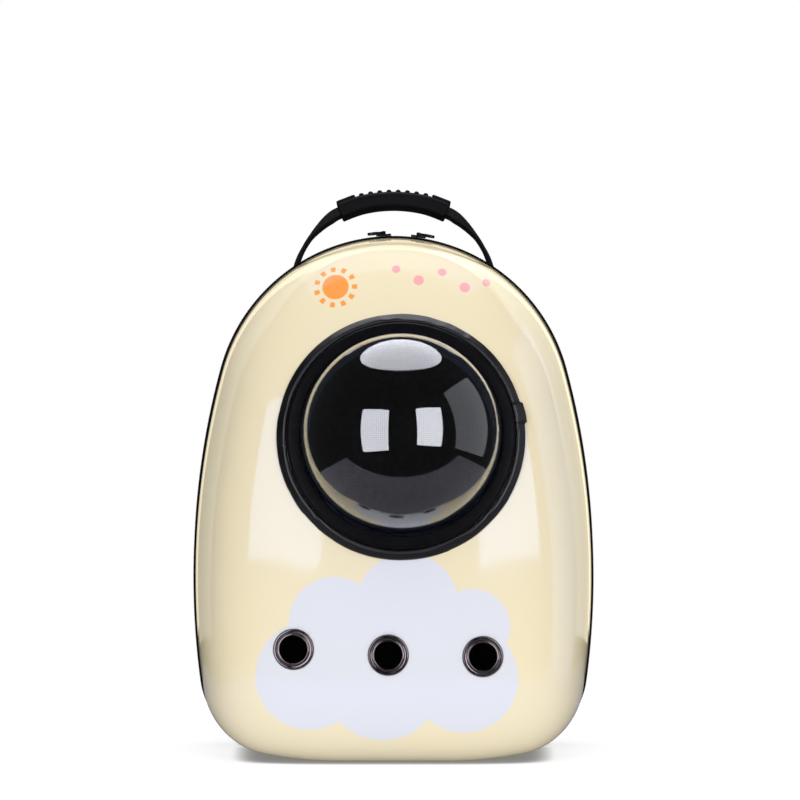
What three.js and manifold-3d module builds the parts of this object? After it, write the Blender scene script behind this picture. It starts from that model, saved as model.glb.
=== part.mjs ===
// Pet carrier backpack: a glossy hard front shell with a domed window and vent grommets, zipped to a
// soft back panel that carries a grip handle and two shoulder straps.
// Millimetres. +Z is up, the front faces -Y, and the origin is on the floor under the middle of the body.

import * as THREE from "three";
import { mergeVertices } from "three/addons/utils/BufferGeometryUtils.js";
import Module from "manifold-3d";

const wasm = await Module();
wasm.setup();

// Driving dimensions of the body
const BODY_DEPTH = 220; // front shell, zip and back panel together, without the dome
const BACK_DEPTH = 47; // back panel
const ZIP_GAP = 8; // between the shell's rim and the back panel's rim
const SHELL_DEPTH = BODY_DEPTH - BACK_DEPTH - ZIP_GAP;
const BACK_FACE_Y = BODY_DEPTH / 2;
const BACK_RIM_Y = BACK_FACE_Y - BACK_DEPTH;
const SHELL_RIM_Y = BACK_RIM_Y - ZIP_GAP;
const GAP = 0.3; // between pieces that touch

// Half of the body's outline seen from the front, from the top's middle to the flat bottom.
// Each arc turns on from the end of the one before.
const OUTLINE_ARCS = [
  { part: "top", radius: 142, turnDeg: 75, steps: 9 },
  { part: "side", radius: 613.9, turnDeg: 23.6, steps: 4 },
  { part: "corner", radius: 55, turnDeg: 70.4, steps: 5 },
  { part: "foot", radius: 330, turnDeg: 11, steps: 3 },
];
const BOTTOM_STEPS = 1;
const TOP_RADIUS = OUTLINE_ARCS[0].radius;

// Front shell: thickness, the lean of its face, and how each edge rounds over to the front.
const SHELL_WALL = 2.5;
const LEAN_DEG = 4.5; // the face leans back towards the top
const LEAN_FROM_Z = 60; // height where the shell has its stated depth
const APEX_Z = 190; // height of the face's foremost point, behind the window
const SHELL_EDGES = {
  side: { draft: 0.07, start: 0.15, power: 4.6 },
  top: { draft: 0.125, start: 0.15, power: 4.2 },
  bottom: { draft: 0, start: 0.66, power: 3 },
};
const SHELL_SECTIONS = [0, 0.28, 0.48, 0.62, 0.74, 0.84, 0.915, 0.965, 0.99, 0.999];

// Lining inside the shell, and zip tape and coil between the shell and the back panel
const LINING_WALL = 1;
const TAPE_WALL = 1.2;
const TAPE_TUCK = 12; // how far the tape runs in behind each rim
const COIL_WIDTH = 5;
const COIL_PROUD = 2.4; // the coil stands this far outside the shell's outline
const COIL_END_TURN_DEG = 125; // where the coil stops on the corner, as a turn from the top's middle

// Back panel
const BACK_WALL = 2.5;
const BACK_PADDING = 6;
const BACK_ROUNDING = 24;
const BACK_ROUND_STEPS = 4;

// Window: its centre on the shell, and the radii of its parts
const WINDOW_X = 5.5;
const WINDOW_Z = 243;
const WINDOW_HOLE_RADIUS = 70;
const DOME_RADIUS = 74;
const DOME_WALL = 2;
const DOME_NECK = 16; // height where the dome starts to close in
const DOME_FLANGE_RADIUS = 79;
const RING_INNER_RADIUS = 75.2;
const RING_OUTER_RADIUS = 85.2;
const RING_HEIGHT = 9.2;
const TRIM_OUTER_RADIUS = 92.5;
const TRIM_HEIGHT = 4.4;
const SKIRT_DEPTH = 14; // the ring and trim reach this far back before the shell trims them
const TAB_ANGLE_DEG = 11; // where the trim's ends overlap, above the right-hand side
const TAB_LENGTH = 15.5;
const TAB_PROUD = 3;
const WINDOW_SIDES = 36;
const DOME_SIDES = 30;

// Vents: a slightly turned row of three grommets under the window
const VENT_ROW_X = -3.9;
const VENT_ROW_Z = 81.5;
const VENT_SPACING = 69.7;
const VENT_ROW_TURN_DEG = -2.2;
const VENT_ENDS_RISE = 1.55; // the outer two sit this far above the row
const VENT_HOLE_RADIUS = 11.6;
const GROMMET_BORE_RADIUS = 10;
const GROMMET_FLANGE_RADIUS = 15.2;
const CURVE_ROOM = 1.8; // between the lining's curve and the grommet's flat rear flange
const GROMMET_SIDES = 16;

// Zip sliders and pulls: where each sits along the top, and which way its pull lies
const SLIDERS = [
  { side: "left", x: -8, points: -1 },
  { side: "right", x: 20, points: 1 },
];
const SLIDER_LENGTH = 12;
const SLIDER_WIDTH = 9;
const SLIDER_HEIGHT = 0.8;
const EAR_LENGTH = 3.6;
const EAR_THICKNESS = 1.6;
const EAR_SPACING = 4.4;
const PIN_RADIUS = 0.55;
const PIN_HEIGHT = 1.6; // above the slider's top
const EYE_RADIUS = 1.3;
const EYE_BORE_RADIUS = 0.85;
const PULL_LENGTH = 13;
const PULL_WIDTH = 7.5;
const PULL_THICKNESS = 1.8;
const PULL_DROOP_DEG = 3; // the pull's tip lies this far below level

// Handle: half of the strap's centre line seen from the front, from the middle down into the back panel.
// The strap is doubled where it leaves the grip and where it is sewn in.
const HANDLE_Y = 77;
const HANDLE_WIDTH = 25;
const HANDLE_ARCH = [
  { x: 0, z: 440.4, thickness: 4.5 },
  { x: 24, z: 437.8, thickness: 5.5 },
  { x: 43.9, z: 430.8, thickness: 8 },
  { x: 51.6, z: 426.2, thickness: 8 },
  { x: 58.9, z: 420, thickness: 5.6 },
  { x: 67.2, z: 410.8, thickness: 2.8 },
  { x: 73.3, z: 401.1, thickness: 2.5 },
  { x: 77.8, z: 391, thickness: 3.6 },
  { x: 82.5, z: 375, thickness: 4 },
];
const HANDLE_STEPS = 28;
const GRIP_HALF_LENGTH = 45;
const GRIP_WIDTH = 32;
const GRIP_THICKNESSES = { middle: 14, end: 14.4 };
const GRIP_STEPS = 8;
const RIB_COUNT = 8;
const RIB_SPACING = 7.1;
const RIB_RADIUS = 2.2;
const RIB_SINK = 0.9; // how far the ribs' middles lie below the grip's top
const RIB_LENGTH = 0.8 * GRIP_WIDTH;
const END_PLATE = { length: 16, height: 3.6, lift: 1.4 }; // raised pads on the grip's top, past the ribs

// Shoulder straps: the right-hand strap's centre line, as x, distance behind the back panel, and z
const PAD_PATH = [
  { x: 40, out: 4.7, z: 352 },
  { x: 43, out: 13, z: 326 },
  { x: 52, out: 36, z: 272 },
  { x: 65, out: 46, z: 208 },
  { x: 80, out: 36, z: 146 },
];
const PAD_STEPS = 12;
const PAD_WIDTHS = { top: 50, middle: 66, bottom: 44 };
const PAD_THICKNESSES = { end: 9, middle: 13 };
const WEBBING_PATH = [
  { x: 80.3, out: 35.5, z: 145 },
  { x: 92, out: 20, z: 96 },
  { x: 99, out: 6, z: 66 },
  { x: 103, out: 1.6, z: 48 },
  { x: 105, out: 1.6, z: 34 },
];
const WEBBING_STEPS = 12;
const WEBBING_WIDTH = 25;
const WEBBING_THICKNESS = 2;
const ADJUSTER_WIDTH = 34;
const ADJUSTER_LENGTH = 22;
const ADJUSTER_THICKNESS = 4;
const ADJUSTER_SLOT = 5;
const ADJUSTER_PLACE = 0.12; // share of the webbing's length

const rad = THREE.MathUtils.degToRad;
const lerp = THREE.MathUtils.lerp;
const vec = (x, y, z) => new THREE.Vector3(x, y, z);

const materials = {
  shell: new THREE.MeshStandardMaterial({ color: 0xf0e2bf, roughness: 0.12 }),
  lining: new THREE.MeshStandardMaterial({ color: 0x111114, roughness: 0.9 }),
  window: new THREE.MeshStandardMaterial({ color: 0xdfe3e6, roughness: 0, transparent: true, opacity: 0.3 }),
  blackPlastic: new THREE.MeshStandardMaterial({ color: 0x131318, roughness: 0.4 }),
  rubber: new THREE.MeshStandardMaterial({ color: 0x16161a, roughness: 0.55 }),
  gunmetal: new THREE.MeshStandardMaterial({ color: 0x4d4748, roughness: 0.25, metalness: 1 }),
  zipMetal: new THREE.MeshStandardMaterial({ color: 0x1c1c20, roughness: 0.3, metalness: 0.8 }),
  webbing: new THREE.MeshStandardMaterial({ color: 0x121214, roughness: 0.8 }),
  fabric: new THREE.MeshStandardMaterial({ color: 0x1a1a1d, roughness: 0.85 }),
};

// Solids and meshes

// A closed geometry as a solid whose faces point out.
function solidOf(geometry) {
  const bare = geometry.clone();
  for (const name of Object.keys(bare.attributes)) {
    if (name !== "position") bare.deleteAttribute(name);
  }
  const merged = mergeVertices(bare, 1e-4);
  const triVerts = new Uint32Array(merged.index.array);
  const positions = merged.attributes.position.array;
  const make = () =>
    new wasm.Manifold(new wasm.Mesh({ numProp: 3, vertProperties: positions, triVerts }));
  const made = make();
  if (made.volume() > 0) return made;
  for (let i = 0; i < triVerts.length; i += 3) {
    [triVerts[i + 1], triVerts[i + 2]] = [triVerts[i + 2], triVerts[i + 1]];
  }
  return make();
}

function geometryOf(solid) {
  const { vertProperties, triVerts } = solid.getMesh();
  const geometry = new THREE.BufferGeometry();
  geometry.setAttribute("position", new THREE.BufferAttribute(vertProperties, 3));
  geometry.setIndex(new THREE.BufferAttribute(triVerts, 1));
  geometry.computeVertexNormals();
  return geometry;
}

function meshOf(name, solid, material) {
  const mesh = new THREE.Mesh(geometryOf(solid), material);
  mesh.name = name;
  return mesh;
}

// A solid skinned over rings of points, each ring joined to the next and both ends capped.
function skin(rings) {
  const sides = rings[0].length;
  const points = rings.flat();
  const triangles = [];
  for (let r = 0; r + 1 < rings.length; r++) {
    for (let i = 0; i < sides; i++) {
      const a = r * sides + i;
      const b = r * sides + ((i + 1) % sides);
      triangles.push(a, b, a + sides, b, b + sides, a + sides);
    }
  }
  for (const [ring, turn] of [[0, 1], [rings.length - 1, -1]]) {
    const centre = points.length;
    points.push(rings[ring].reduce((sum, p) => sum.add(p), vec(0, 0, 0)).divideScalar(sides));
    for (let i = 0; i < sides; i++) {
      const a = ring * sides + i;
      const b = ring * sides + ((i + 1) % sides);
      triangles.push(...(turn > 0 ? [b, a, centre] : [a, b, centre]));
    }
  }
  const geometry = new THREE.BufferGeometry().setFromPoints(points);
  geometry.setIndex(triangles);
  return solidOf(geometry);
}

// A ring turned from a closed profile of [radius, height] points about the local Y axis.
function turned(profile, sides) {
  const points = profile.map(([radius, height]) => new THREE.Vector2(radius, height));
  return solidOf(new THREE.LatheGeometry([...points, points[0]], sides));
}

function box(width, depth, height, x = 0, y = 0, z = 0) {
  return solidOf(new THREE.BoxGeometry(width, depth, height).translate(x, y, z));
}

// A cylinder along Y.
function rod(radius, length, sides, x = 0, y = 0, z = 0) {
  return solidOf(new THREE.CylinderGeometry(radius, radius, length, sides).translate(x, y, z));
}

// A solid carried to where a matrix puts it.
function placed(solid, matrix) {
  return solid.transform(matrix.elements);
}

// Outline of the body

// Points of half of the outline, grown outwards, from the top's middle to the bottom's middle.
function halfOutline(grow) {
  const points = [{ x: 0, z: 0, turn: 0 }];
  let turn = 0;
  for (const { radius, turnDeg, steps } of OUTLINE_ARCS) {
    const start = points.at(-1);
    for (let i = 1; i <= steps; i++) {
      const heading = rad(turn + (turnDeg * i) / steps);
      points.push({
        x: start.x + (radius + grow) * (Math.sin(heading) - Math.sin(rad(turn))),
        z: start.z - (radius + grow) * (Math.cos(rad(turn)) - Math.cos(heading)),
        turn: THREE.MathUtils.radToDeg(heading),
      });
    }
    turn += turnDeg;
  }
  const foot = points.at(-1);
  for (let i = 1; i <= BOTTOM_STEPS; i++) {
    points.push({ x: foot.x * (1 - i / BOTTOM_STEPS), z: foot.z, turn: 180 });
  }
  return points.map((p) => ({ ...p, z: p.z - foot.z - grow }));
}

// The whole outline as a closed ring.
function outline(grow) {
  const half = halfOutline(grow);
  const mirrored = half.slice(1, -1).reverse().map((p) => ({ ...p, x: -p.x }));
  return [...half, ...mirrored];
}

// A ring of points in a plane of constant y.
function outlineAt(grow, y) {
  return outline(grow).map((p) => vec(p.x, y, p.z));
}

const HALF_WIDTH = Math.max(...halfOutline(0).map((p) => p.x));
const BODY_HEIGHT = halfOutline(0)[0].z;
const TOP_CENTRE_Z = BODY_HEIGHT - TOP_RADIUS;

// Front shell

// How far in from the outline an edge has come at a share of the depth; it reaches all the way at 1.
function edgeInset({ draft, start, power }, reach, share) {
  const depth = share * SHELL_DEPTH;
  const t = Math.max(0, (share - start) / (1 - start));
  const bulge = 1 - (1 - t ** power) ** (1 / power);
  return draft * depth + (reach - draft * SHELL_DEPTH) * bulge;
}

// The depth of the face at a height, as a share of its stated depth.
function leanShare(z) {
  return 1 - (Math.tan(rad(LEAN_DEG)) * (z - LEAN_FROM_Z)) / SHELL_DEPTH;
}

// The full form of the front, grown outwards by some amount, from a plane near the rim to its apex.
// It keeps every point of the outline, or only some of them for a hidden piece.
function frontForm(grow, rimY = SHELL_RIM_Y, every = 1) {
  const ring = outline(grow).filter((_, i) => i % every === 0);
  const halfWidth = HALF_WIDTH + grow;
  const height = BODY_HEIGHT + 2 * grow;
  const section = (share) => {
    const side = edgeInset(SHELL_EDGES.side, halfWidth, share);
    const top = edgeInset(SHELL_EDGES.top, BODY_HEIGHT + grow - APEX_Z, share);
    const bottom = edgeInset(SHELL_EDGES.bottom, APEX_Z + grow, share);
    return ring.map((p) => {
      const rise = (p.z + grow) / height;
      const z = bottom - grow + rise * (height - top - bottom);
      const y = SHELL_RIM_Y - share * (SHELL_DEPTH + grow) * leanShare(z);
      return vec((p.x * (halfWidth - side)) / halfWidth, y, z);
    });
  };
  const rim = rimY > SHELL_RIM_Y ? [ring.map((p) => vec(p.x, rimY, p.z))] : [];
  return skin([...rim, ...SHELL_SECTIONS.map(section)]);
}

// Where a round fitting sits on the front: a frame whose Y axis points out, on the shell's highest rim.
function seatOn(face, x, z, radius) {
  const probe = (dx, dz) => {
    const ray = new THREE.Raycaster(vec(x + dx, -BODY_DEPTH, z + dz), vec(0, 1, 0));
    return ray.intersectObject(face)[0].point;
  };
  const across = probe(radius, 0).sub(probe(-radius, 0)).normalize();
  const upwards = probe(0, radius).sub(probe(0, -radius)).normalize();
  const out = across.clone().cross(upwards).normalize();
  const down = across.clone().cross(out).normalize();
  const rim = Array.from({ length: 24 }, (_, i) => {
    const angle = (i / 24) * 2 * Math.PI;
    return probe(radius * Math.cos(angle), radius * Math.sin(angle));
  });
  const middle = rim.reduce((sum, p) => sum.add(p.clone().divideScalar(rim.length)), vec(0, 0, 0));
  const lift = Math.max(...rim.map((p) => p.clone().sub(middle).dot(out)));
  const origin = middle.addScaledVector(out, lift);
  return new THREE.Matrix4().makeBasis(across, out, down).setPosition(origin);
}

const shellForm = frontForm(0);
const shellFace = new THREE.Mesh(geometryOf(shellForm));
const windowSeat = seatOn(shellFace, WINDOW_X, WINDOW_Z, WINDOW_HOLE_RADIUS);
const vents = [-1, 0, 1].map((place, i) => {
  const along = place * VENT_SPACING;
  const turn = rad(VENT_ROW_TURN_DEG);
  const x = VENT_ROW_X + along * Math.cos(turn);
  const z = VENT_ROW_Z + along * Math.sin(turn) + Math.abs(place) * VENT_ENDS_RISE;
  return { name: ["left", "middle", "right"][i], seat: seatOn(shellFace, x, z, GROMMET_FLANGE_RADIUS) };
});

// The window and vent holes as one cutter, widened for a piece that lies behind.
function frontHoles(extra, sides) {
  const reach = 60;
  const windowHole = placed(rod(WINDOW_HOLE_RADIUS + extra, reach, 2 * sides), windowSeat);
  return vents.reduce(
    (cutter, { seat }) => cutter.add(placed(rod(VENT_HOLE_RADIUS + extra, reach, sides), seat)),
    windowHole,
  );
}

function frontShell() {
  return shellForm.subtract(frontForm(-SHELL_WALL, SHELL_RIM_Y + 5)).subtract(frontHoles(0, GROMMET_SIDES));
}

// The lining stops where the zip tape starts.
function lining() {
  const outside = -SHELL_WALL - GAP;
  const cutDepth = 60;
  const cutY = SHELL_RIM_Y - TAPE_TUCK - GAP + cutDepth / 2;
  const behind = box(4 * HALF_WIDTH, cutDepth, 4 * BODY_HEIGHT, 0, cutY, 0);
  const outer = frontForm(outside, SHELL_RIM_Y, 2);
  const inner = frontForm(outside - LINING_WALL, SHELL_RIM_Y, 2);
  return outer.subtract(inner).subtract(frontHoles(1, GROMMET_SIDES / 2)).subtract(behind);
}

// Zip

// A band behind both rims; its front edge follows the shell's draft inwards.
function zipTape() {
  const outside = -Math.max(SHELL_WALL, BACK_WALL) - GAP;
  const draft = Math.max(SHELL_EDGES.side.draft, SHELL_EDGES.top.draft);
  const frontInset = (draft * TAPE_TUCK) / leanShare(BODY_HEIGHT);
  const band = (grow, ends) =>
    skin([
      outlineAt(grow - frontInset, SHELL_RIM_Y - TAPE_TUCK - ends),
      outlineAt(grow, SHELL_RIM_Y),
      outlineAt(grow, BACK_RIM_Y + TAPE_TUCK + ends),
    ]);
  return band(outside, 0).subtract(band(outside - TAPE_WALL, 1));
}

// The coil runs over the top from one lower corner to the other.
function zipCoil() {
  const [foot, crest] = [-Math.max(SHELL_WALL, BACK_WALL), COIL_PROUD];
  const middleY = (SHELL_RIM_Y + BACK_RIM_Y) / 2;
  const half = COIL_WIDTH / 2;
  const profile = [
    { grow: foot, y: middleY - half },
    { grow: crest - 1, y: middleY - half },
    { grow: crest, y: middleY - half + 1 },
    { grow: crest, y: middleY + half - 1 },
    { grow: crest - 1, y: middleY + half },
    { grow: foot, y: middleY + half },
  ];
  const lines = profile.map(({ grow, y }) => {
    const half = halfOutline(grow).filter((p) => p.turn <= COIL_END_TURN_DEG);
    const left = half.slice(1).reverse().map((p) => vec(-p.x, y, p.z));
    return [...left, ...half.map((p) => vec(p.x, y, p.z))];
  });
  return skin(lines[0].map((_, i) => lines.map((line) => line[i])));
}

// A frame on the coil's crest: X along the zip, Z out of it.
function onCoil(x) {
  const radius = TOP_RADIUS + COIL_PROUD + GAP;
  const angle = Math.asin(x / radius);
  const matrix = new THREE.Matrix4().makeRotationY(angle);
  const z = TOP_CENTRE_Z + radius * Math.cos(angle);
  return matrix.setPosition(x, (SHELL_RIM_Y + BACK_RIM_Y) / 2, z);
}

// A slider with two ears that hold the pull's pin.
function slider() {
  const nose = new THREE.Shape();
  const [half, side] = [SLIDER_LENGTH / 2, SLIDER_WIDTH / 2];
  nose.moveTo(-half, -side * 0.6).lineTo(-half * 0.4, -side).lineTo(half, -side);
  nose.lineTo(half, side).lineTo(-half * 0.4, side).lineTo(-half, side * 0.6).closePath();
  const plate = solidOf(new THREE.ExtrudeGeometry(nose, { depth: SLIDER_HEIGHT, bevelEnabled: false }));
  const earY = EAR_SPACING / 2 + EAR_THICKNESS / 2;
  const earTop = PIN_HEIGHT + PIN_RADIUS + 0.2;
  const pinZ = SLIDER_HEIGHT + PIN_HEIGHT;
  const sunk = SLIDER_HEIGHT / 2;
  const ear = (y) => box(EAR_LENGTH, EAR_THICKNESS, earTop + sunk, 0, y, SLIDER_HEIGHT + (earTop - sunk) / 2);
  return plate.add(ear(earY)).add(ear(-earY)).add(rod(PIN_RADIUS, 2 * earY, 10, 0, 0, pinZ));
}

// A flat pull with an eye round the slider's pin; it points along +X from the pin at the origin.
function pull() {
  const eyeWidth = EAR_SPACING - 2 * GAP;
  const neck = EYE_RADIUS + 3.2;
  const shape = new THREE.Shape();
  const half = PULL_WIDTH / 2;
  shape.moveTo(0, -eyeWidth / 2).lineTo(neck - 0.6, -eyeWidth / 2).lineTo(neck + 1.2, -half);
  shape.lineTo(PULL_LENGTH - half, -half).absarc(PULL_LENGTH - half, 0, half, -Math.PI / 2, Math.PI / 2);
  shape.lineTo(neck + 1.2, half).lineTo(neck - 0.6, eyeWidth / 2).lineTo(0, eyeWidth / 2);
  const settings = { depth: PULL_THICKNESS, bevelEnabled: false, curveSegments: 6 };
  const tab = solidOf(new THREE.ExtrudeGeometry(shape, settings).translate(0, 0, -PULL_THICKNESS / 2));
  const eye = rod(EYE_RADIUS, eyeWidth, 10).add(tab);
  return eye.subtract(rod(EYE_BORE_RADIUS, PULL_WIDTH + 2, 10));
}

function zipSliders() {
  return SLIDERS.map(({ side, x, points }) => {
    const group = new THREE.Group();
    group.applyMatrix4(onCoil(x));
    const body = meshOf(`zip_slider_${side}`, slider(), materials.zipMetal);
    body.rotation.z = points < 0 ? 0 : Math.PI;
    const tab = meshOf(`zip_pull_${side}`, pull(), materials.zipMetal);
    tab.position.z = SLIDER_HEIGHT + PIN_HEIGHT;
    tab.rotation.order = "ZYX";
    tab.rotation.z = points > 0 ? 0 : Math.PI;
    tab.rotation.y = rad(PULL_DROOP_DEG);
    return group.add(body, tab);
  });
}

// Back panel: a shallow padded tray with a flat rear face
function backForm(grow, frontY, rearY) {
  const ring = outline(grow);
  const halfWidth = HALF_WIDTH + grow;
  const height = BODY_HEIGHT + 2 * grow;
  const rounding = BACK_ROUNDING + grow;
  const section = (inset, y) =>
    ring.map((p) => {
      const rise = (p.z + grow) / height;
      return vec((p.x * (halfWidth - inset)) / halfWidth, y, inset - grow + rise * (height - 2 * inset));
    });
  const corner = Array.from({ length: BACK_ROUND_STEPS + 1 }, (_, i) => {
    const angle = rad((90 * i) / BACK_ROUND_STEPS);
    return section(rounding * (1 - Math.cos(angle)), rearY - rounding * (1 - Math.sin(angle)));
  });
  return skin([section(0, frontY), ...corner]);
}

function backPanel() {
  const inside = backForm(-BACK_WALL, BACK_RIM_Y - 5, BACK_FACE_Y - BACK_PADDING);
  return backForm(0, BACK_RIM_Y, BACK_FACE_Y).subtract(inside);
}

// Window

function windowTrim() {
  const [inner, outer, height] = [RING_OUTER_RADIUS + GAP, TRIM_OUTER_RADIUS, TRIM_HEIGHT];
  const lip = turned(
    [
      [inner, -SKIRT_DEPTH],
      [outer, -SKIRT_DEPTH],
      [outer, -0.5],
      [outer - 1.2, height * 0.4],
      [outer - 4, height * 0.85],
      [inner, height],
    ],
    WINDOW_SIDES,
  );
  const tabMiddle = (height - SKIRT_DEPTH) / 2;
  const tabBox = box(2 * TAB_PROUD + 2, height + SKIRT_DEPTH, TAB_LENGTH, outer - 1, tabMiddle, 0);
  const tab = placed(tabBox, new THREE.Matrix4().makeRotationY(rad(TAB_ANGLE_DEG)));
  const bore = turned([[0, -2 * SKIRT_DEPTH], [inner, -2 * SKIRT_DEPTH], [inner, 30], [0, 30]], WINDOW_SIDES);
  return placed(lip.add(tab).subtract(bore), windowSeat).subtract(frontForm(GAP));
}

function windowRing() {
  const recess = 2 * GAP + DOME_WALL;
  const profile = [
    [RING_OUTER_RADIUS, -SKIRT_DEPTH],
    [RING_OUTER_RADIUS, TRIM_HEIGHT + 0.6],
    [RING_OUTER_RADIUS - 1.2, TRIM_HEIGHT + 1.8],
    [RING_INNER_RADIUS + 3.2, RING_HEIGHT - 0.3],
    [RING_INNER_RADIUS + 1.2, RING_HEIGHT],
    [RING_INNER_RADIUS, RING_HEIGHT - 1],
    [RING_INNER_RADIUS, recess],
    [DOME_FLANGE_RADIUS + GAP, recess],
    [DOME_FLANGE_RADIUS + GAP, -SKIRT_DEPTH],
  ];
  return placed(turned(profile, WINDOW_SIDES), windowSeat).subtract(frontForm(GAP));
}

// A hemisphere on a short neck, with a flange that the ring holds down.
function windowDome() {
  const rows = 7;
  const arc = (radius, from, to) =>
    Array.from({ length: rows + 1 }, (_, i) => {
      const angle = rad(from + ((to - from) * i) / rows);
      return [radius * Math.cos(angle), DOME_NECK + radius * Math.sin(angle)];
    });
  const inner = DOME_RADIUS - DOME_WALL;
  const profile = [
    [inner, GAP],
    [DOME_FLANGE_RADIUS, GAP],
    [DOME_FLANGE_RADIUS, GAP + DOME_WALL],
    [DOME_RADIUS, GAP + DOME_WALL],
    ...arc(DOME_RADIUS, 0, 90),
    ...arc(inner, 90, 0),
  ];
  return placed(turned(profile, DOME_SIDES), windowSeat);
}

// A grommet with its tube through the shell and lining, and a flange on each side of them.
function grommet(seat) {
  const behind = -SHELL_WALL - LINING_WALL - CURVE_ROOM;
  const [bore, flange] = [GROMMET_BORE_RADIUS, GROMMET_FLANGE_RADIUS];
  const profile = [
    [bore, behind - 1.2],
    [flange - 1, behind - 1.2],
    [flange - 1, behind],
    [bore + 1.2, behind],
    [bore + 1.2, GAP],
    [flange, GAP],
    [flange, 1.1],
    [flange - 0.9, 2.3],
    [bore + 2.4, 3],
    [bore + 0.9, 2.7],
    [bore, 1.6],
  ];
  return placed(turned(profile, GROMMET_SIDES), seat);
}

// Handle

const handleCurve = (() => {
  const half = HANDLE_ARCH.map((p) => vec(p.x, HANDLE_Y, p.z));
  const mirrored = half.slice(1).reverse().map((p) => vec(-p.x, HANDLE_Y, p.z));
  return new THREE.CatmullRomCurve3([...mirrored, ...half], false, "centripetal");
})();

// A rounded section of a strap, as [across, through] shares of its half width and half thickness.
function roundedSection(sides, power) {
  return Array.from({ length: sides }, (_, i) => {
    const angle = ((i + 0.5) / sides) * 2 * Math.PI;
    const shape = (value) => Math.sign(value) * Math.abs(value) ** (2 / power);
    return [shape(Math.cos(angle)), shape(Math.sin(angle))];
  });
}

const FLAT_SECTION = [[-1, -1], [1, -1], [1, 1], [-1, 1]];

// A band swept along a curve between two shares of its length; across is its width's direction.
function band(curve, from, to, steps, section, across, sizeAt) {
  const rings = [];
  for (let i = 0; i <= steps; i++) {
    const share = from + ((to - from) * i) / steps;
    const centre = curve.getPointAt(share);
    const through = curve.getTangentAt(share).cross(across).normalize();
    const { width, thickness } = sizeAt(share);
    rings.push(
      section.map(([a, t]) =>
        centre.clone().addScaledVector(across, (a * width) / 2).addScaledVector(through, (t * thickness) / 2),
      ),
    );
  }
  return skin(rings);
}

// The strap's thickness at a distance across from its middle.
function strapThickness(x) {
  const last = HANDLE_ARCH.length - 1;
  const next = HANDLE_ARCH.findIndex((point, i) => i === last || point.x > x);
  const [a, b] = [HANDLE_ARCH[next - 1], HANDLE_ARCH[next]];
  return lerp(a.thickness, b.thickness, Math.min((x - a.x) / (b.x - a.x), 1));
}

function handleBand(extra) {
  const size = (share) => {
    const thickness = strapThickness(Math.abs(handleCurve.getPointAt(share).x));
    return { width: HANDLE_WIDTH + extra, thickness: thickness + extra };
  };
  return band(handleCurve, 0, 1, HANDLE_STEPS, FLAT_SECTION, vec(0, 1, 0), size);
}

// The strap's two feet end on the top of the back panel.
function handleStrap() {
  return handleBand(0).subtract(backForm(GAP, SHELL_RIM_Y, BACK_FACE_Y));
}

// The grip's thickness at a distance along it from the middle.
function gripThickness(along) {
  return lerp(GRIP_THICKNESSES.middle, GRIP_THICKNESSES.end, (along / GRIP_HALF_LENGTH) ** 2);
}

// A frame over the grip's top: X along the handle, Z out of it.
function onGrip(along, lift) {
  const share = 0.5 + along / handleCurve.getLength();
  const tangent = handleCurve.getTangentAt(share);
  const up = vec(-tangent.z, 0, tangent.x);
  const centre = handleCurve.getPointAt(share).addScaledVector(up, gripThickness(along) / 2 + lift);
  return new THREE.Matrix4().makeBasis(tangent, vec(0, 1, 0), up).setPosition(centre);
}

// A moulded sleeve over the strap's middle, with ribs across its top between two raised end plates.
function handleGrip() {
  const half = GRIP_HALF_LENGTH / handleCurve.getLength();
  const size = (share) => {
    const thickness = gripThickness((share - 0.5) * handleCurve.getLength());
    return { width: GRIP_WIDTH, thickness };
  };
  let grip = band(handleCurve, 0.5 - half, 0.5 + half, GRIP_STEPS, roundedSection(12, 4), vec(0, 1, 0), size);
  for (let i = 0; i < RIB_COUNT; i++) {
    const along = (i - (RIB_COUNT - 1) / 2) * RIB_SPACING;
    grip = grip.add(placed(rod(RIB_RADIUS, RIB_LENGTH, 8), onGrip(along, -RIB_SINK)));
  }
  for (const end of [-1, 1]) {
    const { length, height, lift } = END_PLATE;
    const along = end * (GRIP_HALF_LENGTH - length / 2);
    grip = grip.add(placed(box(length, RIB_LENGTH, height, 0, 0, lift - height / 2), onGrip(along, 0)));
  }
  return grip.subtract(handleBand(2 * GAP));
}

// Shoulder straps

function strapCurve(path, side) {
  return new THREE.CatmullRomCurve3(path.map((p) => vec(side * p.x, BACK_FACE_Y + p.out, p.z)));
}

function shoulderPad(side) {
  const size = (share) => {
    const { top, middle, bottom } = PAD_WIDTHS;
    const width = share < 0.5 ? lerp(top, middle, share * 2) : lerp(middle, bottom, share * 2 - 1);
    const thickness = lerp(PAD_THICKNESSES.end, PAD_THICKNESSES.middle, Math.sin(Math.PI * share));
    return { width, thickness };
  };
  return band(strapCurve(PAD_PATH, side), 0, 1, PAD_STEPS, roundedSection(12, 3.2), vec(1, 0, 0), size);
}

function strapWebbing(side) {
  const size = { width: WEBBING_WIDTH, thickness: WEBBING_THICKNESS };
  return band(strapCurve(WEBBING_PATH, side), 0, 1, WEBBING_STEPS, FLAT_SECTION, vec(1, 0, 0), () => size);
}

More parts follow.
